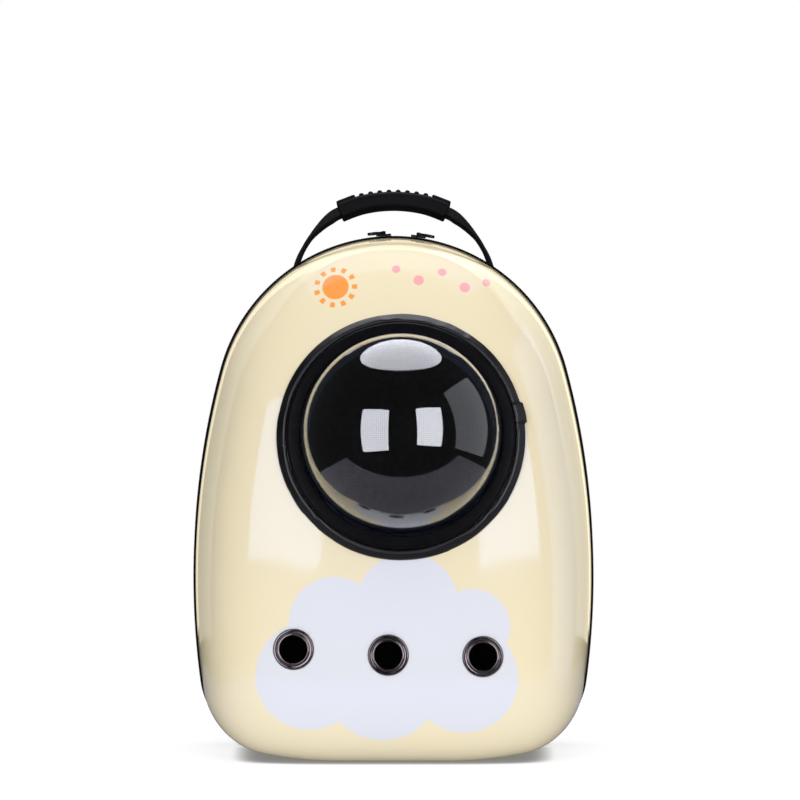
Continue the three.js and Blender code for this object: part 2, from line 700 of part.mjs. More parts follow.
// A plain three-bar frame lying on the webbing, just below the pad.
function strapAdjuster(side) {
  const curve = strapCurve(WEBBING_PATH, side);
  const along = curve.getTangentAt(ADJUSTER_PLACE);
  const out = vec(1, 0, 0).cross(along).normalize();
  const across = out.clone().cross(along).normalize();
  const lift = WEBBING_THICKNESS / 2 + GAP + ADJUSTER_THICKNESS / 2;
  const matrix = new THREE.Matrix4().makeBasis(across, out, across.clone().cross(out));
  matrix.setPosition(curve.getPointAt(ADJUSTER_PLACE).addScaledVector(out, lift));
  const frame = box(ADJUSTER_WIDTH, ADJUSTER_THICKNESS, ADJUSTER_LENGTH);
  const slot = (z) => box(WEBBING_WIDTH + 2, ADJUSTER_THICKNESS + 2, ADJUSTER_SLOT, 0, 0, z);
  return placed(frame.subtract(slot(ADJUSTER_SLOT)).subtract(slot(-ADJUSTER_SLOT)), matrix);
}

// The assembly

const backpack = new THREE.Group();
backpack.add(
  meshOf("front_shell", frontShell(), materials.shell),
  meshOf("lining", lining(), materials.lining),
  meshOf("window_trim", windowTrim(), materials.rubber),
  meshOf("window_ring", windowRing(), materials.blackPlastic),
  meshOf("window_dome", windowDome(), materials.window),
  ...vents.map(({ name, seat }) => meshOf(`vent_grommet_${name}`, grommet(seat), materials.gunmetal)),
  meshOf("zip_tape", zipTape(), materials.fabric),
  meshOf("zip_coil", zipCoil(), materials.blackPlastic),
  ...zipSliders(),
  meshOf("back_panel", backPanel(), materials.fabric),
  meshOf("handle_strap", handleStrap(), materials.webbing),
  meshOf("handle_grip", handleGrip(), materials.rubber),
);
for (const [name, side] of [["left", -1], ["right", 1]]) {
  backpack.add(
    meshOf(`shoulder_pad_${name}`, shoulderPad(side), materials.fabric),
    meshOf(`strap_webbing_${name}`, strapWebbing(side), materials.webbing),
    meshOf(`strap_adjuster_${name}`, strapAdjuster(side), materials.blackPlastic),
  );
}

export default backpack;
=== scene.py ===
"""Looks of a pet carrier backpack: a glossy hard shell with a domed window, zipped to a soft back panel.

Sizes are in millimetres and become metres when a mesh is made. +Z is up and the front faces -Y.
"""

import math

import bmesh
import bpy
import numpy as np
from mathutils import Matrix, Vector
from mathutils.bvhtree import BVHTree


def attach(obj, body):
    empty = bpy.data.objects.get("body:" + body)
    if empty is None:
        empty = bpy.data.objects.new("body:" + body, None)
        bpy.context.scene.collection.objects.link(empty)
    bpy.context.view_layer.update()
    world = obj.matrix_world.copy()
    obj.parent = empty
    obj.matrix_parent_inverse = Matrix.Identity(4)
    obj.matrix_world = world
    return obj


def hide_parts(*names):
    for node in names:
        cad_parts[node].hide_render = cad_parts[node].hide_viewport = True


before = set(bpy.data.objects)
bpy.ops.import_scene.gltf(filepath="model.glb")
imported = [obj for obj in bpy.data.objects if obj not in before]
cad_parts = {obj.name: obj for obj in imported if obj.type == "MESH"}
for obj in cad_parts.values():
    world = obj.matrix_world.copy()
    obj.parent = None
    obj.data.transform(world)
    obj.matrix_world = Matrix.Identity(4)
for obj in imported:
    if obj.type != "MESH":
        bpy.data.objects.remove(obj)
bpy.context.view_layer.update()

MM = 0.001
BODY = "carrier"
SIDEWAYS = np.array((1.0, 0.0, 0.0))
DEPTHWISE = np.array((0.0, 1.0, 0.0))

# Body
BODY_DEPTH = 220
BACK_DEPTH = 47
ZIP_GAP = 8
SHELL_DEPTH = BODY_DEPTH - BACK_DEPTH - ZIP_GAP
BACK_FACE_Y = BODY_DEPTH / 2
BACK_RIM_Y = BACK_FACE_Y - BACK_DEPTH
SHELL_RIM_Y = BACK_RIM_Y - ZIP_GAP
ZIP_Y = (SHELL_RIM_Y + BACK_RIM_Y) / 2
OUTLINE_ARCS = [
    {"part": "top", "radius": 142, "turn": 75},
    {"part": "side", "radius": 613.9, "turn": 23.6},
    {"part": "corner", "radius": 55, "turn": 70.4},
    {"part": "foot", "radius": 330, "turn": 11},
]

# Front shell and lining
SHELL_WALL = 2.5
LEAN_DEG = 4.5
LEAN_FROM_Z = 60
APEX_Z = 190
SHELL_EDGES = {
    "side": {"draft": 0.07, "start": 0.15, "power": 4.6},
    "top": {"draft": 0.125, "start": 0.15, "power": 4.2},
    "bottom": {"draft": 0, "start": 0.66, "power": 3},
}
SHELL_ROWS = 112
SHELL_SPACING = 4
LINING_INSET = 2.8
LINING_WALL = 1
LINING_ROWS = 90
LINING_SPACING = 5

# Zip
TAPE_INSET = 2.8
TAPE_WALL = 1.2
TAPE_TUCK = 12
COIL_PROUD = 2.4
COIL_HALF_WIDTH = 2.5
COIL_PITCH = 2.0
COIL_LOOP_RISE = 0.6
COIL_FOOT = -2.4
COIL_SLACK = 1.0
COIL_SLACK_FROM_TURN = 88
COIL_SLACK_TURN = 10
COIL_END_TURN = 125

# Back panel
BACK_WALL = 2.5
BACK_PADDING = 6
BACK_ROUNDING = 24
BACK_MIDDLE_INSET = 4
SEAM_INSET = 34
SEAM_DEPTH = 1.6
SEAM_WIDTH = 2.2
STITCH_PITCH = 4.5
STITCH_DEPTH = 1.3
STITCH_RISE = 0.5
THREAD_WIDTH = 0.9

# Window
WINDOW_X = 5.5
WINDOW_Z = 243
WINDOW_HOLE_RADIUS = 70
DOME_RADIUS = 74
DOME_WALL = 2
DOME_NECK = 16
DOME_FLANGE_RADIUS = 79
RING_INNER_RADIUS = 75.2
RING_OUTER_RADIUS = 85.2
RING_HEIGHT = 9.2
TRIM_OUTER_RADIUS = 92.5
TRIM_HEIGHT = 4.4
TRIM_FOLD = 2.4
TRIM_SLOPE = 40
TAB_ANGLE = 11
TAB_LENGTH = 15.5
TAB_PROUD = 1.8
TAB_LIFT = 0.8

# Vents
VENT_ROW_X = -3.9
VENT_ROW_Z = 81.5
VENT_SPACING = 69.7
VENT_ROW_TURN = -2.2
VENT_ENDS_RISE = 1.55
VENT_HOLE_RADIUS = 11.6
GROMMET_BORE_RADIUS = 10
GROMMET_FLANGE_RADIUS = 15.2
GROMMET_DEPTH = 6.5

# Handle: half of the strap's centre line, as x, z and thickness
HANDLE_Y = 77
HANDLE_WIDTH = 25
HANDLE_ARCH = [
    (0, 440.4, 4.5),
    (24, 437.8, 5.5),
    (43.9, 430.8, 8),
    (51.6, 426.2, 8),
    (58.9, 420, 5.6),
    (67.2, 410.8, 2.8),
    (73.3, 401.1, 2.5),
    (77.8, 391, 3.6),
    (82.5, 375, 4),
]
GRIP_HALF_LENGTH = 45
GRIP_WIDTH = 31.5
GRIP_THICKNESSES = {"middle": 14, "end": 14.4}
RIB_COUNT = 8
RIB_SPACING = 7.1
RIB_RADIUS = 2.2
RIB_SINK = 0.9
RIB_LENGTH = 25.6
END_PLATE = {"width": 16, "height": 3.6, "lift": 1.4, "power": 7}

# Shoulder straps: x, distance behind the back panel, and z of the right-hand strap
PAD_PATH = [(40, 4.7, 352), (43, 13, 326), (52, 36, 272), (65, 46, 208), (80, 36, 146)]
PAD_WIDTHS = {"top": 50, "middle": 66, "bottom": 44}
PAD_THICKNESSES = {"end": 9, "middle": 13}
PAD_SEAM = 7
PAD_SEAM_WIDTH = 2.2
PAD_SEAM_DEPTH = 0.3
SWELL_VOXEL = 4
SWELL_LIMIT = 2.5
SWELL_FRAMES = 20
WEBBING_PATH = [(80.3, 35.5, 145), (92, 20, 96), (99, 6, 66), (103, 1.6, 48), (105, 1.6, 34)]
WEBBING_WIDTH = 25
WEBBING_THICKNESS = 2


# Meshes


def grid_mesh(
    name, points, material, close_rows=False, close_columns=True, flip=False, caps=False, uv=None, keep=None
):
    """A mesh of quads over rows and columns of points in millimetres.

    uv gives a metre value for each column edge and each row; keep says which quads stay.
    """
    points = np.asarray(points, float)
    rows, columns = points.shape[:2]
    faces, corners = [], []
    for r in range(rows if close_rows else rows - 1):
        for c in range(columns if close_columns else columns - 1):
            quad = [(r, c), (r, c + 1), (r + 1, c + 1), (r + 1, c)]
            if keep is not None:
                middle = np.mean([points[a % rows, b % columns] for a, b in quad], axis=0)
                if not keep(middle):
                    continue
            if flip:
                quad.reverse()
            faces.append([(a % rows) * columns + b % columns for a, b in quad])
            corners.append(quad)
    if caps:
        first = list(range(columns))
        last = [(rows - 1) * columns + c for c in range(columns)]
        faces += [first if flip else first[::-1], last[::-1] if flip else last]
        corners += [None, None]
    mesh = bpy.data.meshes.new(name)
    mesh.from_pydata((points.reshape(-1, 3) * MM).tolist(), [], faces)
    if uv is not None:
        layer = mesh.uv_layers.new(name="cloth")
        across, along = uv
        for polygon, quad in zip(mesh.polygons, corners):
            for loop, corner in zip(polygon.loop_indices, quad or []):
                layer.data[loop].uv = (across[corner[1]], along[corner[0]])
    mesh.shade_smooth()
    obj = bpy.data.objects.new(name, mesh)
    bpy.context.scene.collection.objects.link(obj)
    obj.data.materials.append(material)
    return obj


def drop_loose(obj):
    """Removes the points that no face uses."""
    work = bmesh.new()
    work.from_mesh(obj.data)
    bmesh.ops.delete(work, geom=[v for v in work.verts if not v.link_faces], context="VERTS")
    work.to_mesh(obj.data)
    work.free()


def weld(obj):
    """Merges points that share a place, such as those at a pole."""
    work = bmesh.new()
    work.from_mesh(obj.data)
    bmesh.ops.remove_doubles(work, verts=work.verts[:], dist=0.01 * MM)
    work.to_mesh(obj.data)
    work.free()


def join(name, objects):
    """One object from several."""
    with bpy.context.temp_override(active_object=objects[0], selected_editable_objects=objects):
        bpy.ops.object.join()
    objects[0].name = name
    return objects[0]


def thicken(obj, wall):
    """Gives an open sheet a wall on its inner side."""
    modifier = obj.modifiers.new("wall", "SOLIDIFY")
    modifier.thickness = wall * MM
    modifier.offset = -1


def soften(obj, width, segments=3):
    """Rounds the edges of a piece."""
    modifier = obj.modifiers.new("edges", "BEVEL")
    modifier.width = width * MM
    modifier.segments = segments
    modifier.limit_method = "ANGLE"
    modifier.angle_limit = math.radians(35)
    modifier.harden_normals = True


def place(obj, slot, *nodes, body=BODY):
    """Fixes a finished piece to its body, in place of the nodes it stands for."""
    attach(obj, body)
    if nodes:
        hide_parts(*nodes)
    return obj


# Forms of the body


def half_outline(grow, spacing):
    """Rows of x, z and turn in degrees, from the top's middle round to the bottom's middle."""
    rows = [(0.0, 0.0, 0.0)]
    start = 0.0
    for arc in OUTLINE_ARCS:
        steps = max(2, math.ceil(math.radians(arc["turn"]) * arc["radius"] / spacing))
        x0, z0, _ = rows[-1]
        a0 = math.radians(start)
        radius = arc["radius"] + grow
        for i in range(1, steps + 1):
            a = a0 + math.radians(arc["turn"]) * i / steps
            x = x0 + radius * (math.sin(a) - math.sin(a0))
            z = z0 - radius * (math.cos(a0) - math.cos(a))
            rows.append((x, z, math.degrees(a)))
        start += arc["turn"]
    foot_x, foot_z, _ = rows[-1]
    steps = math.ceil(foot_x / spacing)
    rows += [(foot_x * (1 - i / steps), foot_z, 180.0) for i in range(1, steps + 1)]
    half = np.array(rows)
    half[:, 1] -= foot_z + grow
    return half


def outline(grow, spacing):
    """The whole outline as a closed ring of x and z."""
    half = half_outline(grow, spacing)[:, :2]
    return np.vstack([half, half[-2:0:-1] * (-1, 1)])


HALF_WIDTH = half_outline(0, 2)[:, 0].max()
BODY_HEIGHT = half_outline(0, 2)[0, 1]


def edge_inset(edge, reach, share):
    """How far in from the outline an edge has come at a share of the depth."""
    t = np.clip((share - edge["start"]) / (1 - edge["start"]), 0, 1)
    bulge = 1 - (1 - t ** edge["power"]) ** (1 / edge["power"])
    return edge["draft"] * share * SHELL_DEPTH + (reach - edge["draft"] * SHELL_DEPTH) * bulge


def even_shares(count):
    """Shares of the depth that lie evenly along the shell's side."""
    fine = 1 - np.linspace(1, 0.02, 6000) ** 4
    inset = edge_inset(SHELL_EDGES["side"], HALF_WIDTH, fine)
    length = np.hypot(np.diff(inset), np.diff(fine * SHELL_DEPTH)).cumsum()
    length = np.concatenate([[0], length])
    return np.interp(np.linspace(0, length[-1], count), length, fine)


def front_form(grow, shares, spacing):
    """Rows of points over the front, from the rim to its foremost point."""
    ring = outline(grow, spacing)
    half_width = HALF_WIDTH + grow
    height = BODY_HEIGHT + 2 * grow
    rows = []
    for share in shares:
        side = edge_inset(SHELL_EDGES["side"], half_width, share)
        top = edge_inset(SHELL_EDGES["top"], BODY_HEIGHT + grow - APEX_Z, share)
        bottom = edge_inset(SHELL_EDGES["bottom"], APEX_Z + grow, share)
        rise = (ring[:, 1] + grow) / height
        z = bottom - grow + rise * (height - top - bottom)
        lean = 1 - math.tan(math.radians(LEAN_DEG)) * (z - LEAN_FROM_Z) / SHELL_DEPTH
        y = SHELL_RIM_Y - share * (SHELL_DEPTH + grow) * lean
        rows.append(np.column_stack([ring[:, 0] * (half_width - side) / half_width, y, z]))
    return np.array(rows)


def surface_tree(points):
    """A tree for finding where a ray meets a grid of points."""
    rows, columns = points.shape[:2]
    faces = []
    for r in range(rows - 1):
        for c in range(columns):
            here = r * columns + c
            beside = r * columns + (c + 1) % columns
            faces.append((here, beside, beside + columns, here + columns))
    return BVHTree.FromPolygons(points.reshape(-1, 3).tolist(), faces)


SHELL_POINTS = front_form(0, even_shares(SHELL_ROWS), SHELL_SPACING)
SHELL_TREE = surface_tree(SHELL_POINTS)


class Seat:
    """Where a round fitting sits on the shell: across, up and out of it, touching its highest rim."""

    def __init__(self, x, z, radius):
        def probe(dx, dz):
            return SHELL_TREE.ray_cast(Vector((x + dx, -BODY_DEPTH, z + dz)), Vector((0, 1, 0)))[0]

        self.across = (probe(radius, 0) - probe(-radius, 0)).normalized()
        upwards = (probe(0, radius) - probe(0, -radius)).normalized()
        self.out = self.across.cross(upwards).normalized()
        self.up = self.out.cross(self.across)
        angles = [i / 24 * math.tau for i in range(24)]
        rim = [probe(radius * math.cos(a), radius * math.sin(a)) for a in angles]
        middle = sum(rim, Vector()) / len(rim)
        self.origin = middle + self.out * max((p - middle).dot(self.out) for p in rim)

    def point(self, radius, height, angle):
        flat = self.across * math.cos(angle) + self.up * math.sin(angle)
        return self.origin + flat * radius + self.out * height

    def surface(self, radius, angle):
        """Height of the shell under a point of the seat's plane."""
        start = self.point(radius, 40, angle)
        hit = SHELL_TREE.ray_cast(start, -self.out)[0]
        return (hit - self.origin).dot(self.out)

    def distance(self, point):
        """How far a point lies from the seat's axis."""
        offset = Vector(point) - self.origin
        return (offset - self.out * offset.dot(self.out)).length

    def turned(self, name, profile, sides, material, close_rows=True):
        """A piece turned about the seat's axis from a profile of radius and height."""
        angles = [i / sides * math.tau for i in range(sides)]
        points = [[self.point(r, h, a) for a in angles] for r, h in profile]
        return grid_mesh(name, points, material, close_rows=close_rows)


def vent_seats():
    """The seats of the vents along their slightly turned row."""
    turn = math.radians(VENT_ROW_TURN)
    seats = {}
    for step, name in ((-1, "left"), (0, "middle"), (1, "right")):
        along = step * VENT_SPACING
        x = VENT_ROW_X + along * math.cos(turn)
        z = VENT_ROW_Z + along * math.sin(turn) + abs(step) * VENT_ENDS_RISE
        seats[name] = Seat(x, z, GROMMET_FLANGE_RADIUS)
    return seats


WINDOW = Seat(WINDOW_X, WINDOW_Z, WINDOW_HOLE_RADIUS)
VENTS = vent_seats()
HOLES = [(WINDOW, WINDOW_HOLE_RADIUS)] + [(seat, VENT_HOLE_RADIUS) for seat in VENTS.values()]


def outside_holes(margin):
    """A test that is true for points of the front outside the window and vent holes."""

    def test(point):
        return point[1] > 0 or all(seat.distance(point) > radius + margin for seat, radius in HOLES)

    return test


def round_holes(obj, margin):
    """Moves the ragged edges of the window and vent holes onto true rounds."""
    work = bmesh.new()
    work.from_mesh(obj.data)
    for vertex in work.verts:
        point = vertex.co / MM
        if not vertex.is_boundary or point.y > 0:
            continue
        seat, radius = min(HOLES, key=lambda hole: abs(hole[0].distance(point) - hole[1]))
        offset = point - seat.origin
        height = offset.dot(seat.out)
        flat = offset - seat.out * height
        vertex.co = (seat.origin + flat.normalized() * (radius + margin) + seat.out * height) * MM
    work.to_mesh(obj.data)
    work.free()


def smooth_path(points, count):
    """Even points along a smooth curve through a few given ones, with their tangents."""
    given = np.array(points, float)
    padded = np.vstack([2 * given[0] - given[1], given, 2 * given[-1] - given[-2]])
    fine = []
    for p0, p1, p2, p3 in zip(padded, padded[1:], padded[2:], padded[3:]):
        for t in np.linspace(0, 1, 60, endpoint=False):
            straight = 2 * p1 + (p2 - p0) * t
            bend = (2 * p0 - 5 * p1 + 4 * p2 - p3) * t**2
            twist = (3 * p1 - p0 - 3 * p2 + p3) * t**3
            fine.append(0.5 * (straight + bend + twist))
    fine.append(given[-1])
    fine = np.array(fine)
    length = np.concatenate([[0], np.linalg.norm(np.diff(fine, axis=0), axis=1).cumsum()])
    at = np.linspace(0, length[-1], count)
    path = np.column_stack([np.interp(at, length, fine[:, k]) for k in range(fine.shape[1])])
    tangents = np.gradient(path, axis=0)
    tangents /= np.linalg.norm(tangents, axis=1)[:, None]
    return path, tangents, length[-1]


def rounded_section(sides, power):
    """A rounded outline of a strap, as shares of its half width and half thickness."""
    angles = (np.arange(sides) + 0.5) / sides * math.tau

    def squared_off(wave):
        return np.sign(wave) * np.abs(wave) ** (2 / power)

    return np.column_stack([squared_off(np.cos(angles)), squared_off(np.sin(angles))])


def band(name, path, tangents, length, across, section, widths, thicknesses, material):
    """A strap swept along a path, with cloth coordinates across and along it."""
    through = np.cross(tangents, across)
    through /= np.linalg.norm(through, axis=1)[:, None]
    widths = np.broadcast_to(widths, len(path))
    thicknesses = np.broadcast_to(thicknesses, len(path))
    rows = [
        p + np.outer(section[:, 0] * w / 2, across) + np.outer(section[:, 1] * t / 2, n)
        for p, n, w, t in zip(path, through, widths, thicknesses)
    ]
    u = np.append(section[:, 0], section[0, 0]) * widths.max() / 2 * MM
    v = np.linspace(0, length, len(path)) * MM
    return grid_mesh(name, rows, material, caps=True, uv=(u, v))


# Materials


class Shader:
    """A Principled material with a short way to add its nodes."""

    def __init__(self, name, **values):
        self.material = bpy.data.materials.new(name)
        self.material.use_nodes = True
        self.tree = self.material.node_tree
        self.bsdf = self.tree.nodes["Principled BSDF"]
        for socket, value in values.items():
            self.bsdf.inputs[socket.replace("_", " ")].default_value = value
        coordinates = self.tree.nodes.new("ShaderNodeTexCoord")
        self.place = coordinates.outputs["Object"]
        self.cloth = coordinates.outputs["UV"]

    def node(self, kind, inputs, output=0, **settings):
        made = self.tree.nodes.new("ShaderNode" + kind)
        for key, value in settings.items():
            setattr(made, key, value)
        for key, value in inputs.items():
            if isinstance(value, bpy.types.NodeSocket):
                self.tree.links.new(value, made.inputs[key])
            else:
                made.inputs[key].default_value = value
        return made.outputs[output]

    def math(self, operation, a, b=0.0):
        return self.node("Math", {0: a, 1: b}, operation=operation)

    def noise(self, scale, detail=4.0, vector=None):
        inputs = {"Vector": vector or self.place, "Scale": scale, "Detail": detail}
        return self.node("TexNoise", inputs)

    def wave(self, vector, scale, direction):
        inputs = {"Vector": vector, "Scale": scale, "Distortion": 0.0}
        return self.node("TexWave", inputs, output=1, bands_direction=direction)

    def ranged(self, value, low, high, to_low, to_high):
        inputs = {0: value, 1: low, 2: high, 3: to_low, 4: to_high}
        return self.node("MapRange", inputs, interpolation_type="SMOOTHSTEP")

    def mixed(self, factor, a, b):
        return self.node("Mix", {0: factor, 6: a, 7: b}, output=2, data_type="RGBA")

    def colour(self, socket):
        self.tree.links.new(socket, self.bsdf.inputs["Base Color"])

    def rough(self, value, low, high):
        self.tree.links.new(self.ranged(value, 0.3, 0.7, low, high), self.bsdf.inputs["Roughness"])

    def bump(self, height, strength, depth_mm):
        inputs = {"Height": height, "Strength": strength, "Distance": depth_mm * MM}
        self.tree.links.new(self.node("Bump", inputs), self.bsdf.inputs["Normal"])


CREAM = (0.735, 0.645, 0.425, 1)
WARM_CREAM = (CREAM[0] * 1.02, CREAM[1] * 1.01, CREAM[2] * 0.97, 1)
WHITE_PRINT = (0.635, 0.64, 0.645, 1)
# Painted shade: matt black on the shell round the window's hole, under the dome's flange and the ring.
PAINTED_SEAT_SHADE = (0.004, 0.004, 0.005, 1)
SEAT_SHADE_RADIUS = 77
PRINT_ORANGE = (0.87, 0.3, 0.06, 1)
PRINT_PINK = (0.8, 0.36, 0.36, 1)

# The print: a cloud of overlapping rounds about the vents, and a sun and drops above the window
CLOUD = [(-62, 66, 40), (-8, 60, 42), (52, 64, 40), (-44, 106, 33), (10, 118, 38), (58, 102, 28)]
SUN = {"x": -44, "z": 357, "radius": 10, "rays": 11, "ray_from": 12.5, "ray_to": 16.5}
DROPS = [(2, 371, 3.2), (19, 362, 4), (37, 369, 3.2), (54, 357, 4), (71, 362, 3.2)]
PRINT_BLUR = 0.25
PRINT_BACK_Y = -35


def shell_material():
    """Glossy cream plastic with a printed cloud, sun and drops, and black shade painted matt under the
    window's flange.
    """
    s = Shader("shell_gloss", IOR=2.5, Specular_Tint=(0.35, 0.55, 1, 1))
    split = s.node("SeparateXYZ", {0: s.place}).node
    flat = s.node("CombineXYZ", {"X": split.outputs["X"], "Z": split.outputs["Z"]})
    front = s.ranged(split.outputs["Y"], (PRINT_BACK_Y - 5) * MM, (PRINT_BACK_Y + 5) * MM, 1.0, 0.0)

    def away(x, z):
        return s.node("VectorMath", {0: flat, 1: (x * MM, 0, z * MM)}, output="Value", operation="DISTANCE")

    def within(value, limit):
        return s.ranged(value, (limit - PRINT_BLUR) * MM, (limit + PRINT_BLUR) * MM, 1.0, 0.0)

    def disc(x, z, radius):
        return s.math("MULTIPLY", within(away(x, z), radius), front)

    def sun(x, z, radius, rays, ray_from, ray_to):
        east = s.math("SUBTRACT", split.outputs["X"], x * MM)
        north = s.math("SUBTRACT", split.outputs["Z"], z * MM)
        spoke = s.math("COSINE", s.math("MULTIPLY", s.math("ARCTAN2", north, east), float(rays)))
        band_out = within(away(x, z), ray_to)
        band_in = s.math("SUBTRACT", 1.0, within(away(x, z), ray_from))
        ring = s.math("MULTIPLY", band_in, band_out)
        ray = s.math("MULTIPLY", s.ranged(spoke, 0.1, 0.3, 0.0, 1.0), ring)
        return s.math("MAXIMUM", disc(x, z, radius), s.math("MULTIPLY", ray, front))

    colour = s.mixed(s.noise(9.0, 2.0), CREAM, WARM_CREAM)
    cloud = disc(*CLOUD[0])
    for part in CLOUD[1:]:
        cloud = s.math("MAXIMUM", cloud, disc(*part))
    colour = s.mixed(cloud, colour, WHITE_PRINT)
    colour = s.mixed(sun(**SUN), colour, PRINT_ORANGE)
    for drop in DROPS:
        colour = s.mixed(disc(*drop), colour, PRINT_PINK)
    # Painted shade: black and fully rough within the seat radius of the window's axis, under the dome's
    # flange.
    offset = s.node("VectorMath", {0: s.place, 1: WINDOW.origin * MM}, operation="SUBTRACT")
    sideways = s.node("VectorMath", {0: offset, 1: WINDOW.out}, operation="CROSS_PRODUCT")
    reach = s.node("VectorMath", {0: sideways}, output="Value", operation="LENGTH")
    seat = s.math("MULTIPLY", within(reach, SEAT_SHADE_RADIUS), front)
    s.colour(s.mixed(seat, colour, PAINTED_SEAT_SHADE))
    polish = s.ranged(s.noise(14.0, 3.0), 0.3, 0.7, 0.05, 0.08)
    s.tree.links.new(s.math("MAXIMUM", polish, seat), s.bsdf.inputs["Roughness"])
    return s.material


def lining_material():
    """Matt black woven lining."""
    s = Shader("lining_cloth", Roughness=0.95, Specular_IOR_Level=0.1)
    s.colour(s.mixed(s.noise(400.0), (0.003, 0.003, 0.0035, 1), (0.006, 0.006, 0.007, 1)))
    s.bump(s.noise(900.0), 0.3, 0.2)
    return s.material


def dome_material():
    """Clear hard-coated acrylic, slightly uneven as vacuum-formed sheet is."""
    s = Shader("clear_acrylic", Roughness=0.0, IOR=1.75, Transmission_Weight=1.0)
    s.bsdf.inputs["Base Color"].default_value = (0.97, 0.975, 0.98, 1)
    s.bump(s.noise(22.0, 1.0), 0.06, 0.6)
    return s.material


def plastic_material(name, dark, light, rough, grain, depth, shine):
    """Black moulded plastic or rubber with a fine grain."""
    s = Shader(name, Specular_IOR_Level=shine)
    s.colour(s.mixed(s.noise(35.0, 3.0), dark, light))
    s.rough(s.noise(120.0, 4.0), rough - 0.06, rough + 0.08)
    s.bump(s.noise(grain, 3.0), 0.25, depth)
    return s.material


def trim_material():
    """Soft black vinyl with a leather-like grain."""
    s = Shader("trim_vinyl", Specular_IOR_Level=0.5)
    cells = s.node("TexVoronoi", {"Vector": s.place, "Scale": 700.0}, feature="DISTANCE_TO_EDGE")
    s.colour(s.mixed(s.noise(50.0, 3.0), (0.002, 0.002, 0.003, 1), (0.004, 0.004, 0.005, 1)))
    s.rough(s.noise(90.0, 4.0), 0.3, 0.42)
    s.bump(s.ranged(cells, 0.0, 0.12, 0.0, 1.0), 0.2, 0.08)
    return s.material


def metal_material(name, base, worn, rough):
    """Dark plated metal with a fine grain and light wear."""
    s = Shader(name, Metallic=1.0)
    s.colour(s.mixed(s.ranged(s.noise(140.0, 5.0), 0.55, 0.75, 0.0, 0.6), base, worn))
    s.rough(s.noise(260.0, 4.0), rough - 0.06, rough + 0.1)
    s.bump(s.noise(700.0, 2.0), 0.08, 0.05)
    return s.material


def webbing_material():
    """Black nylon webbing with fine ribs across it and cords along it."""
    s = Shader("nylon_webbing", Specular_IOR_Level=0.15)
    weft = s.wave(s.cloth, 210.0, "Y")
    warp = s.wave(s.cloth, 120.0, "X")
    weave = s.math("ADD", s.math("MULTIPLY", weft, 0.6), s.math("MULTIPLY", warp, 0.4))
    s.colour(s.mixed(weave, (0.002, 0.002, 0.0025, 1), (0.006, 0.006, 0.007, 1)))
    s.rough(s.noise(300.0), 0.6, 0.8)
    s.bump(weave, 0.7, 0.35)
    return s.material


def cloth_material(name, dark, light, threads):
    """Plain woven polyester."""
    s = Shader(name, Roughness=0.85, Sheen_Weight=0.2, Sheen_Roughness=0.5)
    weave = s.math("MULTIPLY", s.wave(s.place, threads, "X"), s.wave(s.place, threads, "Z"))
    mottled = s.math("ADD", weave, s.math("MULTIPLY", s.noise(80.0), 0.5))
    s.colour(s.mixed(mottled, dark, light))
    s.rough(s.noise(200.0), 0.78, 0.92)
    s.bump(weave, 0.5, 0.3)
    return s.material


def pad_material():
    """Open air mesh over foam."""
    s = Shader("air_mesh", Roughness=0.9, Sheen_Weight=0.25, Sheen_Roughness=0.5)
    cells = s.node("TexVoronoi", {"Vector": s.place, "Scale": 330.0, "Randomness": 0.25}, feature="F1")
    holes = s.ranged(cells, 0.25, 0.5, 0.0, 1.0)
    s.colour(s.mixed(holes, (0.003, 0.003, 0.0035, 1), (0.016, 0.016, 0.018, 1)))
    s.rough(s.noise(200.0), 0.82, 0.95)
    s.bump(holes, 0.6, 0.5)
    return s.material


MATERIALS = {
    "shell": shell_material(),
    "lining": lining_material(),
    "dome": dome_material(),
    "ring": plastic_material(
        "ring_plastic", (0.0025, 0.0025, 0.0035, 1), (0.004, 0.004, 0.005, 1),
        rough=0.36, grain=500.0, depth=0.05, shine=0.05,
    ),
    "grip": plastic_material(
        "grip_rubber", (0.003, 0.003, 0.0035, 1), (0.005, 0.005, 0.006, 1),
        rough=0.5, grain=600.0, depth=0.12, shine=0.06,
    ),
    "buckle": plastic_material(
        "buckle_plastic", (0.007, 0.007, 0.008, 1), (0.012, 0.012, 0.013, 1),
        rough=0.42, grain=500.0, depth=0.06, shine=0.12,
    ),
    "coil": plastic_material(
        "zip_nylon", (0.001, 0.001, 0.0015, 1), (0.003, 0.003, 0.004, 1),
        rough=0.5, grain=800.0, depth=0.05, shine=0.03,
    ),
    "trim": trim_material(),
    "gunmetal": metal_material("gunmetal", (0.15, 0.128, 0.13, 1), (0.23, 0.2, 0.2, 1), 0.15),
    "zip_metal": metal_material("zip_enamel", (0.024, 0.024, 0.026, 1), (0.06, 0.06, 0.065, 1), 0.22),
    "webbing": webbing_material(),
    "panel": cloth_material("panel_cloth", (0.005, 0.005, 0.006, 1), (0.018, 0.018, 0.02, 1), 190.0),
    "tape": cloth_material("tape_cloth", (0.004, 0.004, 0.005, 1), (0.012, 0.012, 0.013, 1), 300.0),
    "pad": pad_material(),
    "thread": cloth_material("thread", (0.012, 0.012, 0.013, 1), (0.04, 0.04, 0.043, 1), 500.0),
}


# Shell, lining and zip


def build_shell():
    """The hard front, with round holes for the window and vents."""
    shell = grid_mesh("shell", SHELL_POINTS, MATERIALS["shell"], flip=True, keep=outside_holes(1))
    drop_loose(shell)
    round_holes(shell, 0)
    thicken(shell, SHELL_WALL)
    return place(shell, "shell", "front_shell")


def build_lining():
    """Black cloth close behind the shell, from the zip tape forwards."""
    shares = even_shares(LINING_ROWS)
    points = front_form(-LINING_INSET, shares[shares * SHELL_DEPTH > TAPE_TUCK], LINING_SPACING)
    lining = grid_mesh("lining_cloth", points, MATERIALS["lining"], flip=True, keep=outside_holes(3))
    drop_loose(lining)
    round_holes(lining, 0.5)
    thicken(lining, LINING_WALL)
    place(lining, "lining", "lining")


